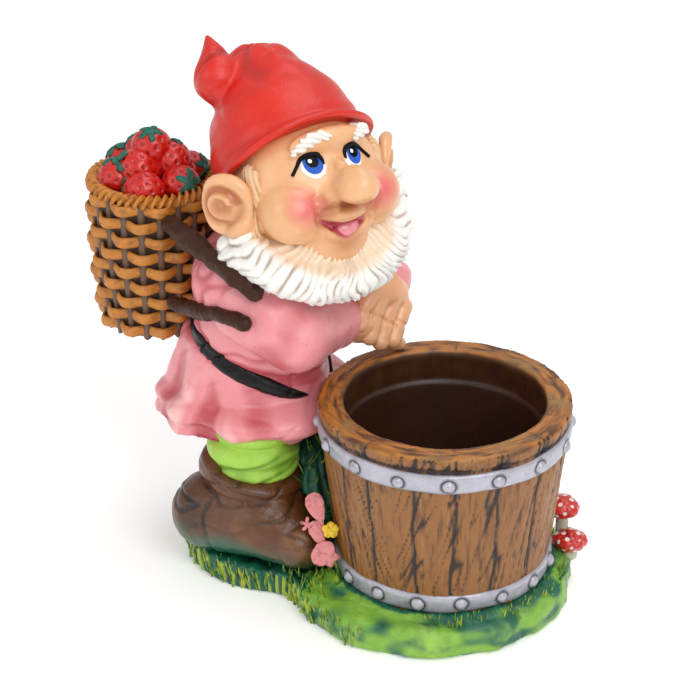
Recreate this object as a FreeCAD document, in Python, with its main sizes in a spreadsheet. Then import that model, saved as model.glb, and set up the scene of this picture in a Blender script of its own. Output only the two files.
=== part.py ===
import FreeCAD, Part
import math
import os
import re
import Sketcher

# Garden gnome with a half-barrel planter, a cast resin ornament 300 mm tall.
# Frame: origin on the underside below the middle of the plinth, +Z up, millimetres.
# The gnome faces -Y, towards the barrel, and its left hand is on +X.

doc = FreeCAD.newDocument("garden_gnome_planter")
sheet = doc.addObject("Spreadsheet::Sheet", "sheet")

DIMENSIONS = {
    # Turf plinth: a round lobe under the barrel and a smaller one under the feet.
    "turfHeight": 15,
    "turfEdgeRound": 4,
    "barrelLobeRadius": 74,
    "barrelLobeY": -32,
    "footLobeRadius": 51,
    "footLobeY": 56,
    "waistRadius": 26,
    "moundHalfWidth": 38,
    "moundHalfDepth": 36,
    "moundHeight": 60,
    "moundX": 4,
    "moundY": 40,
    "bladeLength": 11,
    "bladeRadius": 2.4,
    "bladeCount": 12,
    "bladeRing": 66,
    # Half barrel: a tapered tub with a moulded ledge below its rim.
    "tubY": -40,
    "tubHeight": 99,
    "tubFootRadius": 55,
    "tubRimRadius": 66,
    "tubMouthRadius": 52.5,
    "ledgeDepth": 18,
    "ledgeWidth": 1.5,
    "tubFloorRadius": 43,
    "tubFloorThickness": 13,
    "hoopWidth": 11,
    "hoopProud": 1.5,
    "upperHoopDrop": 20,
    "lowerHoopRise": 3,
    "rivetRadius": 2.8,
    "rivetCount": 16,
    # Boots and trouser legs.
    "footSpread": 33,
    "bootHalfWidth": 22,
    "bootHalfLength": 47,
    "bootHalfHeight": 26,
    "bootY": 57,
    "bootLift": 33,
    "ankleRadius": 26,
    "ankleY": 59,
    "ankleTop": 64,
    "legSpread": 25,
    "legRadius": 25,
    "legTop": 90,
    # Tunic: four oval rings, leaning forward from hem to collar.
    "hemHalfWidth": 45,
    "hemHalfDepth": 49,
    "hemY": 77,
    "hemZ": 80,
    "waistHalfWidth": 39,
    "waistHalfDepth": 42,
    "waistY": 71,
    "waistZ": 120,
    "chestHalfWidth": 40,
    "chestHalfDepth": 38,
    "chestY": 60,
    "chestZ": 156,
    "collarHalfWidth": 27,
    "collarHalfDepth": 25,
    "collarY": 48,
    "collarZ": 192,
    "trimProud": 2.5,
    "beltWidth": 7,
    "beltTilt": 20,
    "beltZ": 128,
    "beltY": 70,
    "strapWidth": 9,
    "upperStrapTilt": 18,
    "upperStrapY": 78,
    "upperStrapZ": 190,
    "lowerStrapTilt": -2,
    "lowerStrapY": 78,
    "lowerStrapZ": 154,
    "strapInnerX": 16,
    # Sleeves and hands: the forearms meet over the back of the barrel's rim.
    "shoulderRadius": 22,
    "elbowRadius": 20,
    "wristRadius": 12,
    "handX": 33,
    "handY": 17,
    "handZ": 131,
    "palmHalfLength": 19,
    "palmHalfWidth": 13,
    "palmHalfThickness": 9,
    "fingerRadius": 3.9,
    "fingerLength": 17,
    # Head: turned to the gnome's right and tipped back.
    "headX": 0,
    "headY": 40,
    "headZ": 217,
    "headYaw": -31,
    "headPitch": -14,
    "skullHalfWidth": 41,
    "skullHalfDepth": 40,
    "skullHalfHeight": 42,
    "cheekRadius": 16,
    "noseHalfWidth": 11,
    "noseHalfLength": 15,
    "noseHalfHeight": 11,
    "noseReach": 61,
    "earHalfHeight": 17,
    "earHalfDepth": 16,
    "earHalfThickness": 7,
    "earReach": 48,
    "eyeHalfWidth": 6.5,
    "eyeHalfHeight": 6,
    "eyeDepth": 4,
    "eyeSpread": 12.5,
    "browHalfLength": 9,
    "browHalfHeight": 2.6,
    "mouthHalfWidth": 12,
    "mouthHalfHeight": 5,
    "beardHalfWidth": 50,
    "beardHalfDepth": 36,
    "beardHalfHeight": 32,
    "hairHalfWidth": 44,
    "hairHalfDepth": 40,
    "hairHalfHeight": 36,
    # Hat: a round crown with a rolled brim, drawn up to a curled tip.
    "crownHalfWidth": 45,
    "crownHalfDepth": 45,
    "crownHalfHeight": 42,
    "crownRise": 6,
    "brimBack": 7,
    "brimRise": 15,
    "brimTilt": 33,
    "brimRollRadius": 3.2,
    "peakRadius": 28,
    "tipRadius": 11,
    # Basket on the back, with a heap of strawberries.
    "basketY": 130,
    "basketFootZ": 124,
    "basketHeight": 80,
    "basketFootRadius": 29,
    "basketRimRadius": 33,
    "weaverRadius": 2.6,
    "weaverCount": 9,
    "borderRadius": 4,
    "berryHalfWidth": 8.6,
    "berryHalfLength": 9.4,
    "berryRing": 19,
    "dishRadius": 28,
    "dishDepth": 6,
    "leafHeight": 4,
    # Flowers and toadstools at the foot of the barrel.
    "petalHalfLength": 7,
    "petalHalfWidth": 5,
    "petalHalfThickness": 2.5,
    "toadstoolCapRadius": 8,
    "toadstoolStemRadius": 3.5,
}

for row, (alias, amount) in enumerate(DIMENSIONS.items(), start=1):
    sheet.set(f"A{row}", alias)
    sheet.set(f"B{row}", str(amount))
    sheet.setAlias(f"B{row}", alias)
doc.recompute()

sub_parts = []


def cell(alias):
    """The number in one cell of the """
    return float(getattr(sheet, alias))


def vector(x, y, z):
    return FreeCAD.Vector(x, y, z)


def with_cells(formula):
    """The formula with each cell's name pointed at the sheet."""
    return re.sub(r"[a-z]\w*", r"sheet.\g<0>", formula)


def bind(thing, **sizes):
    """Binds each named size of an object to a formula of the sheet's cells."""
    for size, formula in sizes.items():
        thing.setExpression(size, with_cells(formula))
    return thing


def lying_along(start, end):
    """The turn that lays an object's own Z axis along the line from start to end."""
    return FreeCAD.Rotation(vector(0, 0, 1), end - start)


def ellipsoid(name, half_x, half_y, half_z, centre, turn=FreeCAD.Rotation()):
    thing = doc.addObject("Part::Ellipsoid", name)
    bind(thing, Radius1=half_z, Radius2=half_x, Radius3=half_y)
    thing.Placement = FreeCAD.Placement(centre, turn)
    return thing


def cone(name, foot_radius, top_radius, height, foot, turn=FreeCAD.Rotation()):
    thing = doc.addObject("Part::Cone", name)
    bind(thing, Radius1=foot_radius, Radius2=top_radius, Height=height)
    thing.Placement = FreeCAD.Placement(foot, turn)
    return thing


def joined(name, *pieces):
    thing = doc.addObject("Part::MultiFuse", name)
    thing.Shapes = list(pieces)
    return thing


def group(name, pieces):
    thing = doc.addObject("Part::Compound", name)
    thing.Links = list(pieces)
    return thing


def less(name, body, *neighbours):
    """The body with its neighbours' space cut out of it, one cut after another."""
    for number, neighbour in enumerate(neighbours):
        cut = doc.addObject("Part::Cut", f"{name}_cut_{number}")
        cut.Base = body
        cut.Tool = neighbour
        body = cut
    return body


def sub_part(label, thing):
    """Labels a finished piece; the label names its file."""
    thing.Label = label
    sub_parts.append(thing)
    return thing


# ---- Turf plinth -----------------------------------------------------------
# Four tangent arcs: the barrel lobe, the foot lobe and a hollow waist on each side.

def turf_outline(body):
    sketch = body.newObject("Sketcher::SketchObject", "turf_outline")
    planes = [plane for plane in body.Origin.OriginFeatures if plane.Role == "XY_Plane"]
    sketch.AttachmentSupport = [(planes[0], "")]
    sketch.MapMode = "FlatFace"
    front, back = cell("barrelLobeY"), cell("footLobeY")
    front_radius, back_radius = cell("barrelLobeRadius"), cell("footLobeRadius")
    hollow = cell("waistRadius")
    # The hollow arc's centre is one radius outside both lobes.
    to_front = front_radius + hollow
    to_back = back_radius + hollow
    gap = back - front
    along = (gap ** 2 + to_front ** 2 - to_back ** 2) / (2 * gap)
    aside = math.sqrt(to_front ** 2 - along ** 2)
    front_angle = math.atan2(along, aside)
    back_angle = math.atan2(along - gap, aside)
    up = vector(0, 0, 1)
    lobe_front = Part.Circle(vector(0, front, 0), up, front_radius)
    lobe_back = Part.Circle(vector(0, back, 0), up, back_radius)
    hollow_right = Part.Circle(vector(aside, front + along, 0), up, hollow)
    hollow_left = Part.Circle(vector(-aside, front + along, 0), up, hollow)
    half_turn = math.pi
    right_start, right_end = half_turn + back_angle, half_turn + front_angle
    sketch.addGeometry(Part.ArcOfCircle(lobe_front, half_turn - front_angle, front_angle), False)
    sketch.addGeometry(Part.ArcOfCircle(hollow_right, right_start, right_end), False)
    sketch.addGeometry(Part.ArcOfCircle(lobe_back, back_angle, half_turn - back_angle), False)
    sketch.addGeometry(Part.ArcOfCircle(hollow_left, -front_angle, -back_angle), False)
    # 1 is an arc's start, 2 its end and 3 its centre.
    for first, first_end, second, second_end in ((0, 2, 1, 2), (1, 1, 2, 1), (2, 2, 3, 2), (3, 1, 0, 1)):
        sketch.addConstraint(Sketcher.Constraint("Tangent", first, first_end, second, second_end))
    sketch.addConstraint(Sketcher.Constraint("Equal", 1, 3))
    for arc, radius in ((0, "barrelLobeRadius"), (1, "waistRadius"), (2, "footLobeRadius")):
        held = sketch.addConstraint(Sketcher.Constraint("Radius", arc, cell(radius)))
        sketch.setExpression(f"Constraints[{held}]", with_cells(radius))
    for arc, place in ((0, "barrelLobeY"), (2, "footLobeY")):
        sketch.addConstraint(Sketcher.Constraint("PointOnObject", arc, 3, -2))
        held = sketch.addConstraint(Sketcher.Constraint("DistanceY", -1, 1, arc, 3, cell(place)))
        sketch.setExpression(f"Constraints[{held}]", with_cells(place))
    return sketch


turf = doc.addObject("PartDesign::Body", "turf")
turf_pad = turf.newObject("PartDesign::Pad", "turf_pad")
turf_pad.Profile = turf_outline(turf)
bind(turf_pad, Length="turfHeight")
doc.recompute()
turf_top = [
    f"Edge{number}"
    for number, edge in enumerate(turf_pad.Shape.Edges, start=1)
    if edge.BoundBox.ZMin > cell("turfHeight") - 0.01
]
turf_round = turf.newObject("PartDesign::Fillet", "turf_round")
turf_round.Base = (turf_pad, turf_top)
bind(turf_round, Radius="turfEdgeRound")
turf.Tip = turf_round
sub_part("turf_base", turf)


# ---- Half barrel -----------------------------------------------------------

def tub_radius(height):
    """Formula for the tub's outer radius at a height above its foot."""
    slope = "(tubRimRadius - tubFootRadius) / tubHeight"
    return f"tubFootRadius + {slope} * ({height})"


tub_foot = vector(0, cell("tubY"), cell("turfHeight"))
tub_outside = cone("tub_outside", "tubFootRadius", "tubRimRadius", "tubHeight", tub_foot)
tub_mouth = doc.addObject("Part::Cylinder", "tub_mouth")
bind(tub_mouth, Radius="tubMouthRadius", Height="ledgeDepth")
mouth_rise = cell("tubHeight") - cell("ledgeDepth")
tub_mouth.Placement.Base = tub_foot + vector(0, 0, mouth_rise)
tub_well = cone(
    "tub_well",
    "tubFloorRadius",
    "tubMouthRadius - ledgeWidth",
    "tubHeight - ledgeDepth - tubFloorThickness",
    tub_foot + vector(0, 0, cell("tubFloorThickness")),
)
barrel_tub = sub_part("barrel_tub", less("tub", tub_outside, tub_mouth, tub_well))


def hoop(name, rise_formula, rise):
    """An iron hoop that stands proud of the tub's taper."""
    upper = f"{rise_formula} + hoopWidth"
    foot = tub_foot + vector(0, 0, rise)
    proud = "hoopProud"
    outside = cone(
        f"{name}_outside",
        f"{tub_radius(rise_formula)} + {proud}",
        f"{tub_radius(upper)} + {proud}",
        "hoopWidth",
        foot,
    )
    return sub_part(name, less(name, outside, tub_outside))


def rivets(name, rise, neighbour):
    """A ring of domed rivets, centred on the face of a hoop."""
    height = rise + cell("hoopWidth") / 2
    taper = (cell("tubRimRadius") - cell("tubFootRadius")) / cell("tubHeight")
    ring_radius = cell("tubFootRadius") + taper * height + cell("hoopProud")
    heads = []
    for number in range(int(cell("rivetCount"))):
        angle = 2 * math.pi * number / cell("rivetCount")
        head = doc.addObject("Part::Sphere", f"{name}_{number}")
        bind(head, Radius="rivetRadius")
        outward = vector(math.cos(angle), math.sin(angle), 0) * ring_radius
        head.Placement.Base = tub_foot + outward + vector(0, 0, height)
        heads.append(head)
    return sub_part(name, less(name, group(f"{name}_heads", heads), neighbour, tub_outside))


upper_rise = cell("tubHeight") - cell("upperHoopDrop")
lower_rise = cell("lowerHoopRise")
upper_hoop = hoop("upper_hoop", "(tubHeight - upperHoopDrop)", upper_rise)
lower_hoop = hoop("lower_hoop", "lowerHoopRise", lower_rise)
rivets("upper_rivets", upper_rise, upper_hoop)
rivets("lower_rivets", lower_rise, lower_hoop)


# ---- Tunic, belt and straps ------------------------------------------------

RINGS = ("hem", "waist", "chest", "collar")


def torso(name, extra):
    """A solid through the tunic's oval rings, each made wider by the extra formula."""
    sections = []
    for ring in RINGS:
        across = f"{ring}HalfWidth + {extra}"
        along = f"{ring}HalfDepth + {extra}"
        deeper = cell(f"{ring}HalfDepth") > cell(f"{ring}HalfWidth")
        section = doc.addObject("Part::Ellipse", f"{name}_{ring}")
        bind(section, MajorRadius=along if deeper else across, MinorRadius=across if deeper else along)
        centre = vector(0, cell(f"{ring}Y"), cell(f"{ring}Z"))
        turn = FreeCAD.Rotation(vector(0, 0, 1), 90 if deeper else 0)
        section.Placement = FreeCAD.Placement(centre, turn)
        sections.append(section)
    loft = doc.addObject("Part::Loft", name)
    loft.Sections = sections
    loft.Solid = True
    return loft


tunic = sub_part("tunic", torso("tunic_body", "0"))
trim_body = torso("trim_body", "trimProud")

REACH = 300


def slab(name, width, tilt, centre, start_x):
    """A tilted layer that cuts a band out of the body round the tunic."""
    layer = doc.addObject("Part::Box", name)
    bind(layer, Height=width)
    layer.Length = REACH
    layer.Width = REACH
    turn = FreeCAD.Rotation(vector(1, 0, 0), tilt)
    corner = vector(start_x, -REACH / 2, -cell(width) / 2)
    layer.Placement = FreeCAD.Placement(centre + turn.multVec(corner), turn)
    return layer


def band(name, layer, *neighbours):
    ring = doc.addObject("Part::Common", f"{name}_ring")
    ring.Base = trim_body
    ring.Tool = layer
    return sub_part(name, less(name, ring, tunic, *neighbours))


belt_centre = vector(0, cell("beltY"), cell("beltZ"))
belt = band("belt", slab("belt_layer", "beltWidth", cell("beltTilt"), belt_centre, -REACH / 2))

# ---- Boots and trouser legs ------------------------------------------------

ground = cell("turfHeight")
legs = []
boots = []
for side, sign in (("right", -1), ("left", 1)):
    foot = ellipsoid(
        f"{side}_foot",
        "bootHalfWidth",
        "bootHalfLength",
        "bootHalfHeight",
        vector(sign * cell("footSpread"), cell("bootY"), cell("bootLift")),
    )
    shaft = cone(
        f"{side}_shaft",
        "bootHalfWidth",
        "ankleRadius",
        "ankleTop - bootLift",
        vector(sign * cell("legSpread"), cell("ankleY"), cell("bootLift")),
    )
    leg = cone(
        f"{side}_leg",
        "legRadius - 2",
        "legRadius",
        "legTop - ankleTop",
        vector(sign * cell("legSpread"), cell("ankleY"), cell("ankleTop")),
    )
    boots.append((f"{side}_boot", joined(f"{side}_boot_cast", foot, shaft)))
    legs.append((f"{side}_trouser_leg", leg))
right_boot = sub_part(boots[0][0], less("right_boot", boots[0][1], turf))
left_boot = sub_part(boots[1][0], less("left_boot", boots[1][1], turf, right_boot))
right_leg = sub_part(legs[0][0], less("right_leg", legs[0][1], tunic))
left_leg = sub_part(legs[1][0], less("left_leg", legs[1][1], tunic, right_leg))

boot_pair = (right_boot, left_boot)
leg_pair = (right_leg, left_leg)
mound_cast = ellipsoid(
    "mound_cast",
    "moundHalfWidth",
    "moundHalfDepth",
    "moundHeight",
    vector(cell("moundX"), cell("moundY"), ground),
)
mound_cast.Angle1 = 0
mound = sub_part(
    "grass_mound",
    less("mound", mound_cast, turf, tub_outside, lower_hoop, *boot_pair, *leg_pair, tunic),
)


# ---- Head ------------------------------------------------------------------
# The pieces of the head are made upright, facing -Y about the head's own middle,
# and this placement then turns and tips them together.

head_turn = FreeCAD.Rotation(vector(0, 0, 1), cell("headYaw"))
head_tip = FreeCAD.Rotation(vector(1, 0, 0), cell("headPitch"))
head_middle = vector(cell("headX"), cell("headY"), cell("headZ"))
head_place = FreeCAD.Placement(head_middle, head_turn * head_tip)


def on_head(thing):
    thing.Placement = head_place
    return thing


skull = ellipsoid("skull", "skullHalfWidth", "skullHalfDepth", "skullHalfHeight", vector(0, 0, 0))
cheeks = []
for side, sign in (("right", -1), ("left", 1)):
    centre = vector(sign * 22, -25, -4)
    cheeks.append(ellipsoid(f"{side}_cheek", *["cheekRadius"] * 3, centre))
chin = ellipsoid("chin", "cheekRadius", "cheekRadius", "cheekRadius - 3", vector(-4, -22, -27))
head_cast = joined("head_cast", skull, chin, *cheeks)
head = sub_part("head", on_head(head_cast))

nose_ball = ellipsoid(
    "nose_ball",
    "noseHalfWidth",
    "noseHalfLength",
    "noseHalfHeight",
    vector(0, -cell("noseReach") + 6, 6),
)
nose_cut = sub_part("nose", less("nose", on_head(group("nose_group", [nose_ball])), head))

ears = []
for side, sign in (("right", -1), ("left", 1)):
    centre = vector(sign * cell("earReach"), -5, -4)
    turn = FreeCAD.Rotation(vector(0, 0, 1), sign * 25)
    lobe = ellipsoid(f"{side}_lobe", "earHalfThickness", "earHalfDepth", "earHalfHeight", centre, turn)
    placed = on_head(group(f"{side}_ear_group", [lobe]))
    ears.append(sub_part(f"{side}_ear", less(f"{side}_ear", placed, head)))

for side, sign in (("right", -1), ("left", 1)):
    spread = sign * cell("eyeSpread")
    ball = ellipsoid(
        f"{side}_eyeball", "eyeHalfWidth", "eyeDepth", "eyeHalfHeight", vector(spread, -36, 16)
    )
    ridge = ellipsoid(
        f"{side}_ridge", "browHalfLength", "browHalfHeight + 1", "browHalfHeight",
        vector(spread, -32, 28), FreeCAD.Rotation(vector(0, 0, 1), sign * 20),
    )
    sub_part(f"{side}_eye", less(f"{side}_eye", on_head(group(f"{side}_eye_group", [ball])), head))
    sub_part(f"{side}_eyebrow", less(f"{side}_brow", on_head(group(f"{side}_brow_group", [ridge])), head))
lips = ellipsoid("lips", "mouthHalfWidth", "eyeDepth", "mouthHalfHeight", vector(-4, -37, -13))
sub_part("mouth", less("mouth", on_head(group("mouth_group", [lips])), head))

brim_turn = FreeCAD.Rotation(vector(1, 0, 0), -cell("brimTilt"))
brim_middle = vector(0, cell("brimBack"), cell("brimRise"))
crown_middle = brim_middle + brim_turn.multVec(vector(0, 0, cell("crownRise")))
crown = ellipsoid(
    "crown", "crownHalfWidth", "crownHalfDepth", "crownHalfHeight", crown_middle, brim_turn
)
below_brim = doc.addObject("Part::Cylinder", "below_brim")
below_brim.Radius = REACH
below_brim.Height = REACH
below_brim.Placement = FreeCAD.Placement(brim_middle + brim_turn.multVec(vector(0, 0, -REACH)), brim_turn)
peak = ellipsoid("peak", "peakRadius", "peakRadius", "peakRadius", vector(0, 30, 43))
cap_cast = joined("cap_cast", crown, peak)
cap_local = less("cap", cap_cast, below_brim)
cap_placed = on_head(group("cap_group", [cap_local]))
hat_cap = sub_part("hat_cap", less("hat_cap", cap_placed, head))
roll = doc.addObject("Part::Torus", "roll")
bind(roll, Radius1="crownHalfWidth - 1", Radius2="brimRollRadius")
roll_middle = brim_middle - brim_turn.multVec(vector(0, 0, cell("brimRollRadius")))
roll.Placement = FreeCAD.Placement(roll_middle, brim_turn)
hat_brim = sub_part("hat_brim", on_head(group("roll_group", [roll])))
tip_bulb = ellipsoid("tip_bulb", "tipRadius", "tipRadius", "tipRadius + 4", vector(-12, 54, 54))
tip_point = cone("tip_point", "tipRadius - 4", "1", "tipRadius + 6", vector(-13, 57, 62))
tip_local = joined("tip_local", tip_bulb, tip_point)
sub_part("hat_tip", less("hat_tip", on_head(tip_local), hat_cap))


# ---- Sleeves and hands -----------------------------------------------------

hand_middle = vector(cell("handX"), cell("handY"), cell("handZ"))


def sleeve(side, shoulder, elbow, wrist):
    """Balls at shoulder, elbow and wrist, with a tapered tube from each to the next."""
    joints = (("shoulder", shoulder), ("elbow", elbow), ("wrist", wrist))
    pieces = []
    for joint, place in joints:
        ball = doc.addObject("Part::Sphere", f"{side}_{joint}_ball")
        bind(ball, Radius=f"{joint}Radius")
        ball.Placement.Base = place
        pieces.append(ball)
    for (joint, start), (following, end) in zip(joints, joints[1:]):
        tube = cone(
            f"{side}_{joint}_tube", f"{joint}Radius", f"{following}Radius",
            str(start.distanceToPoint(end)), start, lying_along(start, end),
        )
        pieces.append(tube)
    return joined(f"{side}_sleeve_cast", *pieces)


right_sleeve_cast = sleeve("right", vector(-31, 58, 160), vector(-28, 34, 146), vector(12, 24, 140))
left_sleeve_cast = sleeve("left", vector(31, 58, 160), vector(50, 38, 148), vector(50, 24, 139))
palm = ellipsoid(
    "left_palm", "palmHalfWidth", "palmHalfLength", "palmHalfThickness",
    hand_middle + vector(3, 0, 6), FreeCAD.Rotation(vector(0, 0, 1), 60),
)
fingers = []
for number in range(4):
    knuckle = hand_middle + vector(-14 + 8 * number, -6 - 3 * number, 2)
    tip = knuckle + vector(-2, -6, -14)
    finger = doc.addObject("Part::Cylinder", f"left_finger_{number}")
    bind(finger, Radius="fingerRadius", Height="fingerLength")
    finger.Placement = FreeCAD.Placement(knuckle, lying_along(knuckle, tip))
    fingers.append(less(f"left_finger_{number}", finger, palm))
right_palm = ellipsoid(
    "right_palm", "palmHalfWidth", "palmHalfLength", "palmHalfThickness",
    hand_middle + vector(-4, 6, -5), FreeCAD.Rotation(vector(0, 0, 1), -60),
)

beard_cast = on_head(group("beard_group", [ellipsoid(
    "beard_cast", "beardHalfWidth", "beardHalfDepth", "beardHalfHeight", vector(0, -8, -34)
)]))
hair_cast = on_head(group("hair_group", [ellipsoid(
    "hair_cast", "hairHalfWidth", "hairHalfDepth", "hairHalfHeight", vector(0, 6, -6)
)]))

left_hand = sub_part("left_hand", group("left_hand_cast", [palm, *fingers]))
right_hand = sub_part("right_hand", less("right_hand", right_palm, palm))
hands = (left_hand, right_hand)
right_sleeve = sub_part("right_sleeve", less("right_sleeve", right_sleeve_cast, tunic, *hands))
left_sleeve = sub_part("left_sleeve", less("left_sleeve", left_sleeve_cast, tunic, *hands, right_sleeve))
sleeves = {"right": right_sleeve, "left": left_sleeve}
straps = []
for level in ("upper", "lower"):
    for side, start in (("right", -REACH - cell("strapInnerX")), ("left", cell("strapInnerX"))):
        strap = f"{side}_{level}_strap"
        middle = vector(0, cell(f"{level}StrapY"), cell(f"{level}StrapZ"))
        tilt = cell(f"{level}StrapTilt")
        layer = slab(f"{strap}_layer", "strapWidth", tilt, middle, start)
        straps.append(band(strap, layer, sleeves[side]))
beard = sub_part(
    "beard",
    less("beard", beard_cast, head, tunic, *straps, right_sleeve, left_sleeve, *hands, *ears, tub_outside),
)
sub_part("hair", less("hair", hair_cast, head, hat_cap, hat_brim, *ears, beard, tunic, *straps))


# ---- Basket ----------------------------------------------------------------

basket_foot = vector(0, cell("basketY"), cell("basketFootZ"))
basket_cast = cone(
    "basket_cast", "basketFootRadius", "basketRimRadius", "basketHeight", basket_foot
)
dish = doc.addObject("Part::Cylinder", "dish")
bind(dish, Radius="dishRadius", Height="dishDepth")
dish.Placement.Base = basket_foot + vector(0, 0, cell("basketHeight") - cell("dishDepth"))
basket_keep_clear = (tunic, *straps)
basket = sub_part("basket_wall", less("basket", basket_cast, dish, *basket_keep_clear))
weavers = []
weaver_count = int(cell("weaverCount"))
for number in range(weaver_count):
    share = (number + 0.5) / weaver_count
    ring = doc.addObject("Part::Torus", f"weaver_{number}")
    slope = "(basketRimRadius - basketFootRadius)"
    bind(ring, Radius1=f"basketFootRadius + {slope} * {share}", Radius2="weaverRadius")
    ring.Placement.Base = basket_foot + vector(0, 0, cell("basketHeight") * share)
    weavers.append(ring)
sub_part("basket_weavers", less("weavers", group("weaver_rings", weavers), basket, *basket_keep_clear))
border = doc.addObject("Part::Torus", "border")
bind(border, Radius1="basketRimRadius - 1", Radius2="borderRadius")
border.Placement.Base = basket_foot + vector(0, 0, cell("basketHeight"))
basket_border = sub_part("basket_border", less("border", border, basket))

# The berries lie in a heap: a ring of six, a ring of three on it and one on top.
berries = []
leaves = []
heap = [(6, cell("berryRing"), 5, 0.3)] + [(3, cell("berryRing") / 1.9, 18.5, 0.9)] + [(1, 0, 31.5, 0)]
for count, ring_radius, rise, start_angle in heap:
    for place in range(count):
        number = len(berries) + 1
        angle = start_angle + 2 * math.pi * place / count
        aside = vector(math.cos(angle), math.sin(angle), 0)
        centre = basket_foot + aside * ring_radius + vector(0, 0, cell("basketHeight") + rise)
        outward = aside * (ring_radius / cell("berryRing")) + vector(0, 0, 0.8)
        outward.normalize()
        turn = lying_along(vector(0, 0, 0), outward)
        berry = ellipsoid(
            f"berry_{number}", "berryHalfWidth", "berryHalfWidth", "berryHalfLength", centre, turn
        )
        berries.append(sub_part(f"strawberry_{number}", berry))
        leaf = cone(
            f"leaf_{number}", "berryHalfWidth - 3", "1", "leafHeight",
            centre + outward * (cell("berryHalfLength") - 2), turn,
        )
        leaves.append(less(f"leaf_{number}", leaf, berry))
sub_part("strawberry_leaves", group("leaf_group", leaves))


# ---- Flowers, toadstools and grass ------------------------------------------

flower_places = {
    "pink_flower_1": vector(-44, 12, 56),
    "pink_flower_2": vector(-46, 10, 42),
    "pink_flower_3": vector(-49, 4, 33),
    "yellow_flower": vector(-45, 4, 47),
}
for label, middle in flower_places.items():
    petal = ellipsoid(
        f"{label}_petals", "petalHalfThickness", "petalHalfWidth", "petalHalfLength", middle
    )
    sub_part(label, less(label, petal, mound, right_boot, tub_outside))

for number, (x, y, z) in enumerate(((43, -91, 39), (37, -98, 23)), start=1):
    stem_height = z - ground
    stem = cone(
        f"stem_{number}", "toadstoolStemRadius", "toadstoolStemRadius - 1", str(stem_height),
        vector(x, y, ground),
    )
    cap = ellipsoid(
        f"cap_{number}", "toadstoolCapRadius", "toadstoolCapRadius", "toadstoolCapRadius - 2",
        vector(x, y, z),
    )
    placed_cap = sub_part(f"toadstool_cap_{number}", less(f"cap_{number}", cap, tub_outside, lower_hoop))
    sub_part(f"toadstool_stem_{number}", less(f"stem_{number}", stem, placed_cap, tub_outside, lower_hoop))

# Blades of grass stand round the front of the barrel, between its foot and the turf's edge.
blades = []
blade_count = int(cell("bladeCount"))
for number in range(blade_count):
    angle = math.radians(175 + 190 * number / blade_count)
    outward = vector(math.cos(angle), math.sin(angle), 0)
    place = vector(0, cell("barrelLobeY"), ground) + outward * cell("bladeRing")
    lean = outward * 0.25 + vector(0, 0, 1)
    blade = cone(
        f"blade_{number}", "bladeRadius", "0.4", "bladeLength", place, lying_along(vector(0, 0, 0), lean)
    )
    blades.append(less(f"blade_{number}", blade, turf))
sub_part("grass_tufts", group("blade_group", blades))

doc.recompute()
broken = [thing.Name for thing in doc.Objects if {"Invalid", "Error"} & set(thing.State)]
if broken:
    raise RuntimeError(f"objects that did not recompute: {broken}")
os.makedirs("parts", exist_ok=True)
for thing in sub_parts:
    shape = thing.Shape
    if shape.isNull() or not shape.isValid() or not shape.Solids:
        raise RuntimeError(f"{thing.Label} has no valid solid")
    shape.exportStep(f"parts/{thing.Label}.step")
    print(thing.Label, len(shape.Solids), round(shape.Volume))
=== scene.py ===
import bpy
import math
import random
from mathutils import Euler, Matrix, Vector, noise


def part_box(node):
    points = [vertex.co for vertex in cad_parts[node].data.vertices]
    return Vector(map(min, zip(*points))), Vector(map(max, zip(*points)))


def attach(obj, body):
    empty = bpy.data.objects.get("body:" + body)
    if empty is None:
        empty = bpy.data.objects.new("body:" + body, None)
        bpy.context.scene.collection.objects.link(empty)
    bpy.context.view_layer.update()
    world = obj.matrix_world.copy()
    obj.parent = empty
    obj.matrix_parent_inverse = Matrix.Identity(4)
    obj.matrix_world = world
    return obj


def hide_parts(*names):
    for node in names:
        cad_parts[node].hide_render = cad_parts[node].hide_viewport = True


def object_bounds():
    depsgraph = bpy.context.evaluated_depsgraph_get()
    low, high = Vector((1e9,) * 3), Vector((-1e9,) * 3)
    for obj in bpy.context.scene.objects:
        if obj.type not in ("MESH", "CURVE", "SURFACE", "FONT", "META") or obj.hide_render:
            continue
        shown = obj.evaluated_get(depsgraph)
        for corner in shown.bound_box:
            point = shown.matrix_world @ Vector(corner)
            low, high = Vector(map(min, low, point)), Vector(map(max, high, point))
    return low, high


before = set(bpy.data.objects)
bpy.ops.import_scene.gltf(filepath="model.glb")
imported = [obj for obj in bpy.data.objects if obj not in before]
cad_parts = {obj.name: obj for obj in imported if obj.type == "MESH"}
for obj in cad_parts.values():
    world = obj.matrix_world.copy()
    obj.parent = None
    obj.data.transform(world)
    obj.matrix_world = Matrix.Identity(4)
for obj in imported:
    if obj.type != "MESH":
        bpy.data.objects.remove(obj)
cad_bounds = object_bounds()
random.seed(7)


# ---- Camera, floor and light ------------------------------------------------
# A long lens looks down on the gnome's right side, with a large soft lamp beside
# it, a weaker one across from it and a pale floor that runs out of view.

MM = 0.001
SIDES = {"right": -1, "left": 1}
VIEW_AZIMUTH = math.radians(-64)
VIEW_ELEVATION = math.radians(27.5)
VIEW_DISTANCE = 1.37

low, high = (Vector(corner) for corner in cad_bounds)
aim = Vector((0, (low.y + high.y) / 2 - 14 * MM, (low.z + high.z) / 2 - 11 * MM))
sideways = math.cos(VIEW_ELEVATION)
towards_camera = Vector((
    math.sin(VIEW_AZIMUTH) * sideways,
    -math.cos(VIEW_AZIMUTH) * sideways,
    math.sin(VIEW_ELEVATION),
))
camera_data = bpy.data.cameras.new("camera")
camera_data.lens = 135
camera = bpy.data.objects.new("camera", camera_data)
camera.location = aim + towards_camera * VIEW_DISTANCE
camera.rotation_euler = towards_camera.to_track_quat("Z", "Y").to_euler()
bpy.context.collection.objects.link(camera)
bpy.context.scene.camera = camera
bpy.context.scene.view_settings.view_transform = "Standard"


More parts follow.
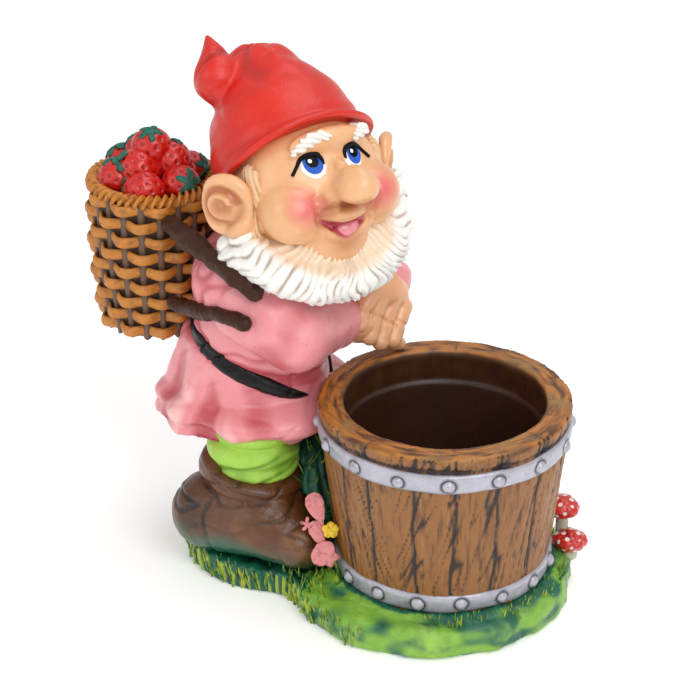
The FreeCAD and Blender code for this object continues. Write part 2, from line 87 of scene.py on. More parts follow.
def colour(code):
    """Linear red, green, blue and alpha of an sRGB hex code."""
    channels = [int(code[place:place + 2], 16) / 255 for place in (1, 3, 5)]
    linear = [c / 12.92 if c <= 0.04045 else ((c + 0.055) / 1.055) ** 2.4 for c in channels]
    return (*linear, 1)


def add_node(tree, kind, inputs=None, **settings):
    """Adds one node, sets its options, and sets or links its inputs."""
    made = tree.nodes.new(kind)
    for option, value in settings.items():
        setattr(made, option, value)
    for socket, value in (inputs or {}).items():
        if isinstance(value, bpy.types.NodeSocket):
            tree.links.new(value, made.inputs[socket])
        else:
            made.inputs[socket].default_value = value
    return made


def new_material(name):
    """A material with an empty tree and its output node."""
    material = bpy.data.materials.new(name)
    material.use_nodes = True
    tree = material.node_tree
    tree.nodes.clear()
    output = tree.nodes.new("ShaderNodeOutputMaterial")
    return material, tree, output


# The floor is matt white card, very slightly mottled and lit a little from below.
card, tree, output = new_material("matt_white_card")
mottle = add_node(tree, "ShaderNodeTexNoise", {"Scale": 6.0, "Detail": 3.0})
shade = add_node(
    tree, "ShaderNodeMixRGB", {0: mottle.outputs[0], 1: colour("#f8f8f7"), 2: colour("#fefefe")})
surface = add_node(tree, "ShaderNodeBsdfPrincipled", {
    "Base Color": shade.outputs[0], "Roughness": 0.8,
    "Emission Color": colour("#ffffff"), "Emission Strength": 0.2,
})
tree.links.new(surface.outputs[0], output.inputs[0])
bpy.ops.mesh.primitive_plane_add(size=8)
floor = bpy.context.object
floor.name = "floor"
floor.data.materials.append(card)

world = bpy.data.worlds.new("studio")
bpy.context.scene.world = world
world.use_nodes = True
world.node_tree.nodes["Background"].inputs[0].default_value = (1, 1, 1, 1)
world.node_tree.nodes["Background"].inputs[1].default_value = 0.62

lamps = {
    "key_lamp": ((-0.75, -0.9, 1.25), 0.9, 11),
    "fill_lamp": ((-1.3, 0.9, 0.9), 1.0, 4.5),
    "top_lamp": ((0.35, -0.2, 1.5), 0.8, 5),
}
for name, (place, size, power) in lamps.items():
    lamp_data = bpy.data.lights.new(name, "AREA")
    lamp_data.size = size
    lamp_data.energy = power
    lamp = bpy.data.objects.new(name, lamp_data)
    lamp.location = place
    lamp.rotation_euler = (Vector(place) - aim).to_track_quat("Z", "Y").to_euler()
    bpy.context.collection.objects.link(lamp)


# ---- Half barrel ------------------------------------------------------------
# The tub is cast in one with its floor: the staves and their grain are incised in
# the mould, then painted brown, with painted shade near black in the cuts and in the well.

FOOT_SHARE = 0.833
MOUTH_SHARE = 0.795
LEDGE_DEPTH = 18
FLOOR_THICKNESS = 13
WELL_FOOT = 43
STAVES = 17


def take(*things):
    """Selects these objects alone; the last one is the active one."""
    bpy.ops.object.select_all(action="DESELECT")
    for thing in things:
        thing.select_set(True)
    bpy.context.view_layer.objects.active = things[-1]


def fresh(add_primitive, **settings):
    """A new primitive, selected alone."""
    bpy.ops.object.select_all(action="DESELECT")
    add_primitive(**settings)
    return bpy.context.object


def settle(piece):
    """Puts a piece's place, turn and size into its mesh."""
    take(piece)
    bpy.ops.object.transform_apply(location=True, rotation=True, scale=True)
    return piece


def use_modifier(piece, kind, **settings):
    take(piece)
    modifier = piece.modifiers.new(kind.lower(), kind)
    for option, value in settings.items():
        setattr(modifier, option, value)
    bpy.ops.object.modifier_apply(modifier=modifier.name)
    return piece


def lathe(name, profile, axis, steps):
    """A circle drawn out ring by ring through the profile's (radius, height) points, in mm."""
    bpy.ops.object.select_all(action="DESELECT")
    radius, height = profile[0]
    place = (axis.x, axis.y, height * MM)
    bpy.ops.mesh.primitive_circle_add(vertices=steps, radius=radius * MM, location=place)
    piece = settle(bpy.context.object)
    piece.name = name
    bpy.ops.object.mode_set(mode="EDIT")
    bpy.ops.mesh.select_all(action="SELECT")
    for (near, below), (far, above) in zip(profile, profile[1:]):
        bpy.ops.mesh.extrude_edges_move(TRANSFORM_OT_translate={"value": (0, 0, (above - below) * MM)})
        widen = far / near
        bpy.ops.transform.resize(value=(widen, widen, 1), center_override=(axis.x, axis.y, 0))
    bpy.ops.object.mode_set(mode="OBJECT")
    return piece


def close_ends(piece):
    """Fills the open rings at both ends and turns every face outwards."""
    take(piece)
    bpy.ops.object.mode_set(mode="EDIT")
    bpy.ops.mesh.select_mode(type="EDGE")
    bpy.ops.mesh.select_all(action="DESELECT")
    bpy.ops.mesh.select_non_manifold()
    bpy.ops.mesh.fill_holes(sides=0)
    bpy.ops.mesh.select_all(action="SELECT")
    bpy.ops.mesh.normals_make_consistent(inside=False)
    bpy.ops.object.mode_set(mode="OBJECT")
    return piece


def paint(piece, layer, rule):
    """Keeps rule(point in mm, normal) as a paint layer on the piece's points."""
    mesh = piece.data
    values = mesh.attributes.get(layer) or mesh.attributes.new(layer, "FLOAT", "POINT")
    for vertex in mesh.vertices:
        values.data[vertex.index].value = rule(vertex.co / MM, vertex.normal)
    return piece


def sculpt(piece, rule):
    """Moves each point along its normal by rule(point, normal) mm, and keeps that as paint depth."""
    paint(piece, "relief", rule)
    mesh = piece.data
    heights = [item.value for item in mesh.attributes["relief"].data]
    moved = [vertex.co + vertex.normal * height * MM for vertex, height in zip(mesh.vertices, heights)]
    for vertex, place in zip(mesh.vertices, moved):
        vertex.co = place
    mesh.update()
    return piece


def smooth(piece):
    take(piece)
    bpy.ops.object.shade_smooth()
    return piece


def place_on_object(piece, material, slot, *nodes):
    """Gives a finished piece its material and its body, and hides the CAD nodes that it stands for."""
    piece.data.materials.clear()
    piece.data.materials.append(material)
    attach(piece, "root")
    if nodes:
        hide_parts(*nodes)
    return piece


def box_of(node):
    """The lowest and highest corner of a CAD node's box, in mm."""
    return [Vector(corner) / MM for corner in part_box(node)]


def steps_between(start, end, count):
    return [start + (end - start) * step / count for step in range(count + 1)]


def polar(turn, reach, height=0.0):
    """The point at a turn in radians, a reach from the upright axis and a height."""
    return Vector((math.cos(turn) * reach, math.sin(turn) * reach, height))


def clamp(value):
    return min(1, max(0, value))


def bump_line(distance, width):
    """A soft bell, 1 on the line and near 0 beyond its width."""
    return math.exp(-(distance / width) ** 2)


tub_low, tub_high = box_of("barrel_tub")
tub_axis = (tub_low + tub_high) / 2 * MM
tub_axis.z = 0
rim_radius = (tub_high.x - tub_low.x) / 2
foot_radius = rim_radius * FOOT_SHARE
mouth_radius = rim_radius * MOUTH_SHARE
tub_height = tub_high.z - tub_low.z
ledge_height = tub_high.z - LEDGE_DEPTH
well_floor = tub_low.z + FLOOR_THICKNESS


def tub_radius(height):
    return foot_radius + (rim_radius - foot_radius) * (height - tub_low.z) / tub_height


wall_heights = steps_between(tub_low.z, tub_high.z - 2, 88)
tub_profile = [(tub_radius(height), height) for height in wall_heights]
tub_profile += [(rim_radius - 0.5, tub_high.z - 1), (rim_radius - 1.6, tub_high.z - 0.2)]
tub_profile += [(radius, tub_high.z) for radius in steps_between(rim_radius - 3, mouth_radius + 2, 16)]
tub_profile += [(mouth_radius + 0.7, tub_high.z - 0.4), (mouth_radius, tub_high.z - 1.6)]
neck_heights = steps_between(tub_high.z - 4, ledge_height + 1, 9)
tub_profile += [(mouth_radius - 0.2, height) for height in neck_heights]
tub_profile += [(mouth_radius - 0.6, ledge_height + 0.2), (mouth_radius - 1.5, ledge_height - 0.6)]
well_top = mouth_radius - 1.8
tub_profile += zip(
    steps_between(well_top, WELL_FOOT, 24), steps_between(ledge_height - 2, well_floor + 2, 24))
tub_profile += [(41, well_floor + 0.4), (38, well_floor), (20, well_floor), (4, well_floor)]
barrel = close_ends(lathe("barrel_tub_carved", tub_profile, tub_axis, 360))

seam_angles = [2 * math.pi * (stave + random.uniform(-0.16, 0.16)) / STAVES for stave in range(STAVES)]


def seam_distance(angle, height, radius):
    """Distance in mm round the tub to the nearest seam, which wanders a little as it climbs."""
    nearest = radius
    for number, seam in enumerate(seam_angles):
        wander = 0.012 * math.sin(height * 0.07 + number * 2.1) + 0.006 * math.sin(height * 0.21 + number)
        turn = (angle - seam - wander + math.pi) % (2 * math.pi) - math.pi
        nearest = min(nearest, abs(turn) * radius)
    return nearest


upper_hoop_top = box_of("upper_hoop")[1].z


def stave_relief(point, normal):
    aside = point - tub_axis / MM
    radius = math.hypot(aside.x, aside.y)
    angle = math.atan2(aside.y, aside.x)
    if radius < mouth_radius + 0.4:
        return 0.12 * noise.noise(point * 0.12)
    seam = seam_distance(angle, point.z, radius)
    if normal.z > 0.6:
        # End grain of the rim: shallow seams and a hand-modelled unevenness.
        joint = 0.22 * bump_line(seam, 0.7)
        return 0.35 * noise.noise(point * 0.09) - joint + 0.15 * noise.noise(point * 0.5)
    across = angle * radius
    grain_point = Vector((across * 0.20, point.z * 0.021, 0))
    fine_point = Vector((across * 0.5, point.z * 0.028, 3.0))
    grain = bump_line(noise.noise(grain_point), 0.07)
    fine = bump_line(noise.noise(fine_point), 0.10)
    crown = 0.4 * min(seam, 9) / 9
    groove = bump_line(point.z - upper_hoop_top - 1.4, 1.5)
    return crown - 0.95 * bump_line(seam, 0.65) - 0.8 * grain - 0.3 * fine - 0.9 * groove \
        + 0.3 * noise.noise(point * 0.06)


sculpt(barrel, stave_relief)


def rim_share(point, normal):
    aside = point - tub_axis / MM
    radius = math.hypot(aside.x, aside.y)
    on_top = clamp((point.z - tub_high.z + 3.5) / 2.5)
    return on_top * clamp((radius - mouth_radius + 1.5) / 1.5)


# Painted shade: the well inside the mouth, below the rim, is painted near-black brown.
def painted_well_shade(point, normal):
    aside = point - tub_axis / MM
    radius = math.hypot(aside.x, aside.y)
    inside = clamp((mouth_radius + 0.9 - radius) / 1.2)
    return inside * clamp((tub_high.z - 0.2 - point.z) / 1.2)


def rim_streak(point, normal):
    """Long brush strokes that follow the rim round."""
    aside = point - tub_axis / MM
    turn = math.atan2(aside.y, aside.x)
    radius = math.hypot(aside.x, aside.y)
    stroke = Vector((radius * 0.42, math.cos(turn) * 4.5, math.sin(turn) * 4.5))
    return noise.noise(stroke) + 0.5 * noise.noise(stroke * 2.3)


paint(barrel, "rim", rim_share)
paint(barrel, "streak", rim_streak)
paint(barrel, "well", painted_well_shade)
smooth(barrel)


def layer_value(tree, layer):
    return add_node(tree, "ShaderNodeAttribute", attribute_name=layer).outputs["Fac"]


def spread(tree, value, low_end, high_end):
    """The value's run from low_end to high_end drawn out to 0 to 1."""
    ends = {"Value": value, "From Min": low_end, "From Max": high_end}
    return add_node(tree, "ShaderNodeMapRange", ends).outputs[0]


def blend(tree, share, below, above, kind="MIX"):
    mixed = add_node(tree, "ShaderNodeMixRGB", {0: share, 1: below, 2: above}, blend_type=kind)
    return mixed.outputs[0]


def mottling(tree, size, stretch=(1, 1, 1), detail=4.0):
    """Noise with patches of the given size in mm, drawn out along the axes by stretch."""
    place = add_node(tree, "ShaderNodeTexCoord").outputs["Object"]
    shrink = [1 / part for part in stretch]
    scaled = add_node(tree, "ShaderNodeMapping", {"Vector": place, "Scale": shrink})
    scale = 1 / (size * MM)
    inputs = {"Vector": scaled.outputs[0], "Scale": scale, "Detail": detail, "Roughness": 0.6}
    return add_node(tree, "ShaderNodeTexNoise", inputs).outputs[0]


def raised(tree, value, depth):
    """A bump of the given depth in mm."""
    inputs = {"Height": value, "Distance": depth * MM, "Strength": 1.0}
    return add_node(tree, "ShaderNodeBump", inputs).outputs[0]


def look_of(tree, look):
    """The colour of a look: a hex code, a mottling (size in mm, two codes and its stretch), or a list
    of a look and the washes laid over it, each a mask, the mask's low and high end, and a look."""
    if isinstance(look, str):
        return colour(look)
    if isinstance(look, tuple):
        size, low_code, high_code, *stretch = look
        return blend(tree, mottling(tree, size, *stretch), colour(low_code), colour(high_code))
    ground, *washes = look
    shade = look_of(tree, ground)
    for mask, *ends, wash in washes:
        share = layer_value(tree, mask) if isinstance(mask, str) else mottling(tree, *mask)
        if ends:
            share = spread(tree, share, *ends)
        shade = blend(tree, share, shade, look_of(tree, wash))
    return shade


def painted(name, look, finish, bump=None):
    """A material with a look, the shader's own values and a bump of a size, depth and stretch in mm."""
    material, tree, output = new_material(name)
    inputs = {"Base Color": look_of(tree, look), **finish}
    if bump:
        size, depth, *stretch = bump
        inputs["Normal"] = raised(tree, mottling(tree, size, *stretch), depth)
    surface = add_node(tree, "ShaderNodeBsdfPrincipled", inputs)
    tree.links.new(surface.outputs[0], output.inputs[0])
    return material


# Matt brown acrylic over resin, streaked darker and ochre at random, with painted shade near black in the
# cuts.
stave_paint = painted("brown_acrylic_with_painted_shade", [
    (30, "#804c1c", "#a06c30", (1, 1, 5)),
    ((2.4, (1, 1, 16)), 0.5, 0.72, "#5a3210"),
    ((3.5, (1, 1, 9)), 0.62, 0.8, "#b9833f"),
    # Near black in the cuts of the staves, seams, grain and the groove over the upper hoop: painted
    # shade.
    ("relief", -0.05, -0.7, "#261205"),
    ("rim", [
        "#b36f24",
        ("streak", 0.35, -0.45, "#55300f"),
        ((24,), 0.5, 0.66, "#8f6a34"),
        # Darker brown in the cuts of the rim: painted shade.
        ("relief", -0.1, -0.5, "#3a1c08"),
    ]),
    # The well inside the mouth is near-black brown: painted shade.
    ("well", (26, "#2b1207", "#3d1c0c")),
], {"Roughness": 0.46, "Coat Weight": 0.15, "Coat Roughness": 0.3}, (0.9, 0.25, (1, 1, 8)))
place_on_object(barrel, stave_paint, "barrel_stave", "barrel_tub")


# ---- Iron hoops and rivets --------------------------------------------------
# Two bands modelled round the tub, uneven along their edges as hammered iron is,
# painted silver grey, with painted shade darker in the dents and black round the rivets.

HOOP_PROUD = 1.7
RIVETS = 16
RIVET_RADIUS = 3.3


def hoop_band(name, node):
    bottom, top = (corner.z for corner in box_of(node))
    rows = steps_between(bottom, top, 12)
    profile = [(tub_radius(bottom) - 1, bottom)]
    for row, height in enumerate(rows):
        rounding = 1 - abs(2 * row / 12 - 1) ** 6
        profile.append((tub_radius(height) + 0.3 + (HOOP_PROUD - 0.3) * rounding, height))
    profile.append((tub_radius(top) - 1, top))
    profile.append((tub_radius((bottom + top) / 2) - 1, (bottom + top) / 2))
    profile.append(profile[0])
    band = lathe(name, profile, tub_axis, 420)
    use_modifier(band, "WELD", merge_threshold=0.05 * MM)
    take(band)
    bpy.ops.object.mode_set(mode="EDIT")
    bpy.ops.mesh.select_all(action="SELECT")
    bpy.ops.mesh.normals_make_consistent(inside=False)
    bpy.ops.object.mode_set(mode="OBJECT")
    for vertex in band.data.vertices:
        place = vertex.co / MM
        edge = 1 if place.z > (bottom + top) / 2 else -1
        turn = Vector((place.x * 0.045, place.y * 0.045, edge * 2.0))
        vertex.co.z += 0.9 * noise.noise(turn) * MM
    sculpt(band, lambda point, normal: 0.3 * noise.noise(point * 0.12) + 0.08 * noise.noise(point * 0.45))
    return smooth(band)


def rivet_spots(node, start):
    """The middle, outward direction and radius in mm of each rivet along a band."""
    bottom, top = (corner.z for corner in box_of(node))
    spots = []
    for number in range(RIVETS):
        angle = start + 2 * math.pi * number / RIVETS
        outward = polar(angle, 1)
        height = (bottom + top) / 2 + random.uniform(-0.8, 0.8)
        reach = tub_radius(height) + HOOP_PROUD - 0.3
        place = tub_axis / MM + outward * reach + Vector((0, 0, height))
        spots.append((place, outward, RIVET_RADIUS * random.uniform(0.9, 1.1)))
    return spots


def joined(name, things):
    take(*things)
    bpy.ops.object.join()
    piece = bpy.context.object
    piece.name = name
    return piece


def rivet_ring(name, spots):
    """Domed heads, one at each spot."""
    heads = []
    for place, outward, size in spots:
        head = fresh(bpy.ops.mesh.primitive_uv_sphere_add, segments=20, ring_count=12, radius=size * MM)
        head.scale = (1, 1, 0.8)
        head.rotation_euler = outward.to_track_quat("Z", "Y").to_euler()
        head.location = place * MM
        heads.append(settle(head))
    ring = joined(name, heads)
    sculpt(ring, lambda point, normal: 0.25 * noise.noise(point * 0.5))
    paint(ring, "rivet_foot_shade", lambda point, normal: 0.0)
    return smooth(ring)


def shade_round_rivets(spots):
    """Painted shade: 1 against the foot of a rivet, falling to 0 a little way out."""
    def foot_shade(point, normal):
        gap = min((point - place).length - size for place, outward, size in spots)
        return clamp(1 - gap / 2.0)
    return foot_shade


hoop_paint = painted("silver_paint_with_painted_shade", [
    (9, "#9a99a4", "#c9c7d2"),
    # Darker grey in the dents and near black round each rivet's foot: painted shade.
    ("relief", -0.12, -0.32, "#5b585c"),
    ((3.2,), 0.62, 0.8, "#6b6763"),
    ("rivet_foot_shade", 0.1, 0.9, "#1f1c1b"),
], {"Roughness": 0.36, "Metallic": 0.35}, (1.6, 0.18))
for level, start in (("upper", 0.06), ("lower", 0.2)):
    spots = rivet_spots(f"{level}_hoop", start)
    band = hoop_band(f"{level}_hoop_band", f"{level}_hoop")
    paint(band, "rivet_foot_shade", shade_round_rivets(spots))
    place_on_object(band, hoop_paint, "hoop_grey", f"{level}_hoop")
    ring = rivet_ring(f"{level}_rivet_heads", spots)
    place_on_object(ring, hoop_paint, "hoop_grey", f"{level}_rivets")


# ---- Basket -----------------------------------------------------------------
# Nine flat weavers go in and out of dark upright stakes, under a border of two
# thick rods twisted together, all cast in resin and painted ochre over dark brown.

STAKES = 20
WEAVERS = 9
WEAVER_HEIGHT = 6.0
WEAVER_SWING = 2.4
BORDER_TWISTS = 24
ROD_RADIUS = 2.1

wall_low, wall_high = box_of("basket_wall")
border_low, border_high = box_of("basket_border")
basket_axis = (border_low + border_high) / 2 * MM
basket_axis.z = 0
basket_rim = (border_high.x - border_low.x) / 2 - 4
basket_foot = basket_rim * 0.87
basket_height = wall_high.z - wall_low.z


def basket_radius(height):
    share = (height - wall_low.z) / basket_height
    return basket_foot + (basket_rim - basket_foot) * share + 1.6 * math.sin(math.pi * share)


def ring_of(path, half_across, half_up, around):
    """A torus whose middle line follows path(angle) and whose section has these half-sizes, in mm."""
    ring = fresh(
        bpy.ops.mesh.primitive_torus_add,
        major_segments=around, minor_segments=10, major_radius=1, minor_radius=0.25)
    for vertex in ring.data.vertices:
        angle = math.atan2(vertex.co.y, vertex.co.x)
        across = (math.hypot(vertex.co.x, vertex.co.y) - 1) / 0.25
        outward = polar(angle, 1)
        offset = outward * across * half_across + Vector((0, 0, vertex.co.z / 0.25 * half_up))
        vertex.co = (path(angle) + offset) * MM
    return ring


rows = []
for row in range(WEAVERS):
    level = wall_low.z + basket_height * (row + 0.5) / WEAVERS

    def woven(angle, level=level, row=row):
        swing = WEAVER_SWING * math.cos(angle * STAKES / 2 + math.pi * row)
        reach = basket_radius(level) + 0.6 + swing
        lift = 0.5 * noise.noise(Vector((angle * 2, row * 3.0, 0)))
        return polar(angle, reach, level + lift) + basket_axis / MM

    rows.append(ring_of(woven, 1.3, WEAVER_HEIGHT / 2, around=330))
weave = joined("basket_weave", rows)
sculpt(weave, lambda point, normal: 0.16 * noise.noise(Matrix.Diagonal((0.3, 0.3, 1.4)) @ point))
smooth(weave)

wall_profile = [(3, wall_low.z + 1), (basket_foot - 5, wall_low.z + 0.5)]
stake_heights = steps_between(wall_low.z, wall_high.z, 40)
wall_profile += [(basket_radius(height) - 0.8, height) for height in stake_heights]
wall_profile += [(basket_rim - 5, wall_high.z), (basket_rim - 6, wall_high.z - 6), (3, wall_high.z - 5)]
wall = close_ends(lathe("basket_stakes", wall_profile, basket_axis, 220))


def stake_relief(point, normal):
    aside = point - basket_axis / MM
    angle = math.atan2(aside.y, aside.x)
    if math.hypot(aside.x, aside.y) < basket_foot - 6:
        return 0.5 * noise.noise(point * 0.3)
    return 2.0 * max(0, math.cos(angle * STAKES)) ** 0.6 + 0.3 * noise.noise(point * 0.4) - 0.8


sculpt(wall, stake_relief)
smooth(wall)

rods = []
for rod in range(2):
    def twisted(angle, rod=rod):
        twist = angle * BORDER_TWISTS + math.pi * rod
        reach = basket_rim - 0.5 + 2.0 * math.cos(twist)
        height = wall_high.z + 0.5 + 2.0 * math.sin(twist)
        return polar(angle, reach, height) + basket_axis / MM

    rods.append(ring_of(twisted, ROD_RADIUS, ROD_RADIUS, around=420))
border = joined("basket_border_rods", rods)
sculpt(border, lambda point, normal: 0.3 * noise.noise(point * 0.6))
smooth(border)

wicker_paint = painted("ochre_acrylic_on_wicker", [
    (11, "#b26a22", "#d08b36"),
    ((2.2, (3, 3, 1)), 0.6, 0.78, "#7d4a1d"),
    # Darker brown where the weavers dip: painted shade.
    ("relief", 0.0, -0.22, "#5a3418"),
], {"Roughness": 0.5}, (0.8, 0.3, (4, 4, 1)))

stake_paint = painted("dark_umber_acrylic_on_wicker", [
    (5, "#2a1a12", "#4b3527"),
    # Paler brown on the crests of the stakes: painted highlight.
    ("relief", 0.1, 0.8, "#6a5240"),
], {"Roughness": 0.6}, (1.0, 0.3))
place_on_object(weave, wicker_paint, "wicker", "basket_weavers")
place_on_object(border, wicker_paint, "wicker", "basket_border")
place_on_object(wall, stake_paint, "wicker_dark", "basket_wall")


# ---- Strawberries -----------------------------------------------------------
# Lumpy glossy berries with pressed-in seeds, each with a star of green leaves,
# cast in a heap. One berry and one star are modelled, then copied and turned.

SEEDS = 52
HEAP_HEIGHT_SHARE = 0.55
BERRY_SWELL = 1.16
BERRY_NODES = sorted(
    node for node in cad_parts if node.startswith("strawberry_") and node != "strawberry_leaves")


def seed_points(count):
    """Seeds spread evenly over a unit ball, as on a sunflower head."""
    golden = math.pi * (3 - math.sqrt(5))
    points = []
    for number in range(count):
        height = 1 - 2 * (number + 0.5) / count
        ring = math.sqrt(1 - height ** 2)
        turn = golden * number
        points.append(Vector((ring * math.cos(turn), ring * math.sin(turn), height)))
    return points


seeds = seed_points(SEEDS)
berry_model = fresh(bpy.ops.mesh.primitive_ico_sphere_add, subdivisions=5, radius=1)
layer = berry_model.data.attributes.new("relief", "FLOAT", "POINT")
for vertex in berry_model.data.vertices:
    direction = vertex.co.normalized()
    nearest = min((direction - seed).length for seed in seeds)
    dent = -0.10 * bump_line(nearest, 0.10) + 0.015 * noise.noise(direction * 3)
    taper = 1 - 0.26 * max(0, -direction.z) ** 1.5 + 0.04 * direction.z
    layer.data[vertex.index].value = dent
    vertex.co = Vector((direction.x * taper, direction.y * taper, direction.z)) * (1 + dent)

star_model = fresh(bpy.ops.mesh.primitive_circle_add, vertices=60, radius=1, fill_type="TRIFAN")
use_modifier(star_model, "SUBSURF", levels=1, render_levels=1, subdivision_type="SIMPLE")
for vertex in star_model.data.vertices:
    angle = math.atan2(vertex.co.y, vertex.co.x)
    reach = vertex.co.length
    point_out = abs(math.cos(angle * 2.5))
    stretch = 0.35 + 0.65 * point_out ** 1.6
    curl = -0.5 * (reach * stretch) ** 2 + 0.1 * point_out * reach
    vertex.co = Vector((vertex.co.x * stretch, vertex.co.y * stretch, curl))
use_modifier(star_model, "SOLIDIFY", thickness=0.16, offset=0)

strawberry_paint = painted("glossy_red_lacquer_on_berries", [
    (8, "#a80c09", "#d81e10"),
    # Darker red in the seed dents: painted shade.
    ("relief", -0.03, -0.1, "#5d0706"),
], {"Roughness": 0.3, "Coat Weight": 0.25, "Coat Roughness": 0.15}, (1.6, 0.2))

leaf_paint = painted(
    "teal_green_acrylic_on_leaves", (3, "#0b4a3c", "#1f7d68"), {"Roughness": 0.38}, (0.9, 0.3))


def copy_of(model, name):
    piece = model.copy()
    piece.data = model.data.copy()
    piece.name = name
    bpy.context.collection.objects.link(piece)
    return piece


basket_top = Vector((basket_axis.x / MM, basket_axis.y / MM, wall_high.z))
stars = []
for number, node in enumerate(BERRY_NODES):
    corner, opposite = box_of(node)
    centre = (corner + opposite) / 2
    centre.z = basket_top.z + (centre.z - basket_top.z) * HEAP_HEIGHT_SHARE
    half = (opposite - corner).z / 2 * BERRY_SWELL
    outward = (centre - basket_top + Vector((0, 0, 12))).normalized()
    lean = Vector([random.uniform(-0.9, 0.9) for axis in range(3)])
    stalk = (outward + lean).normalized()
    turn = stalk.to_track_quat("Z", "Y").to_euler()
    berry = copy_of(berry_model, f"{node}_berry")
    berry.scale = [half * MM * stretch for stretch in (1.02, 0.96, 1.1)]
    berry.rotation_euler = turn
    berry.location = centre * MM
    settle(berry)
    smooth(berry)
    place_on_object(berry, strawberry_paint, "strawberry", node)
    star = copy_of(star_model, f"star_{number}")
    star.scale = [half * random.uniform(0.6, 0.8) * MM] * 3
    star.rotation_euler = turn
    star.location = (centre + stalk * half * 1.12) * MM
    stars.append(settle(star))
leaves = joined("strawberry_leaf_stars", stars)
sculpt(leaves, lambda point, normal: 0.6 * noise.noise(point * 0.7))
place_on_object(smooth(leaves), leaf_paint, "berry_leaf", "strawberry_leaves")
bpy.data.objects.remove(berry_model)
bpy.data.objects.remove(star_model)


# ---- Tunic, sleeves and belt ------------------------------------------------
# The tunic and its sleeves are modelled as thick cloth: full below the belt,
# pinched at it and creased at the elbows. Satin pink acrylic, with painted shade
# redder in the folds and painted highlight paler on the raised cloth.

def cad_copy(node):
    """A copy of a CAD node's mesh, merged, as a start for sculpting."""
    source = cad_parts[node]
    piece = bpy.data.objects.new(f"{node}_start", source.data.copy())
    bpy.context.collection.objects.link(piece)
    use_modifier(piece, "WELD", merge_threshold=0.01 * MM)
    return piece


def ball(centre, radii, turn=None, detail=4):
    """A ball at a place in mm with three half-sizes in mm, turned by a rotation matrix."""
    thing = fresh(bpy.ops.mesh.primitive_ico_sphere_add, subdivisions=detail, radius=1)
    thing.scale = [radius * MM for radius in radii]
    if turn is not None:
        thing.rotation_euler = turn.to_euler()
    thing.location = Vector(centre) * MM
    return settle(thing)


def limb(stops, spacing=2.5):
    """Balls strung along the stops, each a place and a radius in mm, close enough to fuse."""
    string = []
    for (start, near), (end, far) in zip(stops, stops[1:]):
        start, end = Vector(start), Vector(end)
        count = max(1, round((end - start).length / spacing))
        for step in range(count + 1):
            share = step / count
            radius = near + (far - near) * share
            string.append(ball(start.lerp(end, share), (radius, radius, radius), detail=3))
    return string


def fused(name, parts, voxel, rounds=4):
    """The parts joined into one skin of the given voxel in mm, its hard corners relaxed."""
    piece = joined(name, parts)
    use_modifier(piece, "REMESH", mode="VOXEL", voxel_size=voxel * MM)
    use_modifier(piece, "SMOOTH", factor=0.5, iterations=rounds)
    return piece


tunic_low, tunic_high = box_of("tunic")
belt_low, belt_high = box_of("belt")
belt_middle = (belt_low + belt_high) / 2
BELT_SLOPE = math.tan(math.radians(20))
WAIST_RADIUS = 44
hem_z = tunic_low.z
skirt_middle = Vector((0, tunic_high.y - 49, hem_z))


def above_belt(point):
    """Height in mm above the belt's sloping plane, which is lower in front."""
    return point.z - belt_middle.z - (point.y - belt_middle.y) * BELT_SLOPE


tunic = fused("tunic_cloth", [
    cad_copy("tunic"),
    ball((0, skirt_middle.y + 2, hem_z + 12), (47, 46, 13)),
    ball((-24, 56, 160), (21, 24, 24)),
    ball((24, 56, 160), (21, 24, 24)),
    ball((0, 62, 140), (40, 42, 24)),
    ball((0, 71, 166), (42, 29, 25)),
    ball((-30, 66, 168), (18, 24, 20)),
    ball((30, 66, 168), (18, 24, 20)),
    ball((0, 62, 93), (51, 46, 14)),
], 1.3, 10)


def cloth_relief(point, normal):
    height = above_belt(point)
    angle = math.atan2(point.y - skirt_middle.y, point.x)
    low_share = clamp(-height / 34)
    pleat = math.cos(angle * 9 + 2.2 * noise.noise(Vector((angle, point.z * 0.02, 1))))
    skirt = 1.7 * low_share * pleat + 1.2 * low_share * noise.noise(point * 0.045)
    pinch = -2.6 * bump_line(height, 4.5)
    crease = noise.noise(Vector((point.x * 0.05, point.y * 0.05 + point.z * 0.03, point.z * 0.06)))
    folds = -1.3 * bump_line(crease, 0.09) + 0.6 * noise.noise(point * 0.07)
    return skirt + pinch + (folds if height > 0 else folds * 0.4)


sculpt(tunic, cloth_relief)
smooth(tunic)

cloth_paint = painted("satin_pink_acrylic_on_cloth", [
    (24, "#e07f86", "#ee9fa2"),
    # Redder in the folds is painted shade; paler on the raised cloth is painted highlight.
    ("relief", -0.2, -1.6, "#c4555e"),
    ("relief", 0.9, 2.0, "#f7bcb9"),
    ((3, (1, 1, 3)), 0.6, 0.8, "#d3707a"),
], {"Roughness": 0.36, "Coat Weight": 0.3, "Coat Roughness": 0.25}, (1.3, 0.28, (1, 1, 3)))
place_on_object(tunic, cloth_paint, "tunic", "tunic")

ARMS = {
    "right": ((-29, 56, 160), (-30, 33, 147), (7, 26, 140)),
    "left": ((31, 58, 160), (56, 35, 151), (54, 20, 143)),
}


def sleeve(name, shoulder, elbow, wrist):
    """Shoulder to elbow to wrist, ending in a cuff that stands a little proud."""
    cuff_start = Vector(wrist) + (Vector(elbow) - Vector(wrist)).normalized() * 5
    stops = [(shoulder, 22), (elbow, 19.5), (cuff_start, 13.5), (wrist, 14.5)]
    return fused(name, limb(stops, 3.5), 1.1, 8)


def sleeve_relief(elbow):
    def relief(point, normal):
        reach = (point - Vector(elbow)).length
        wrinkle = math.sin(reach * 0.42 + 2.4 * noise.noise(point * 0.055))
        near_elbow = math.exp(-(reach / 34) ** 2)
        patch = noise.noise(point * 0.03 + Vector((5, 1, 2)))
        return 3.3 * wrinkle * near_elbow * patch + 0.9 * noise.noise(point * 0.07)
    return relief


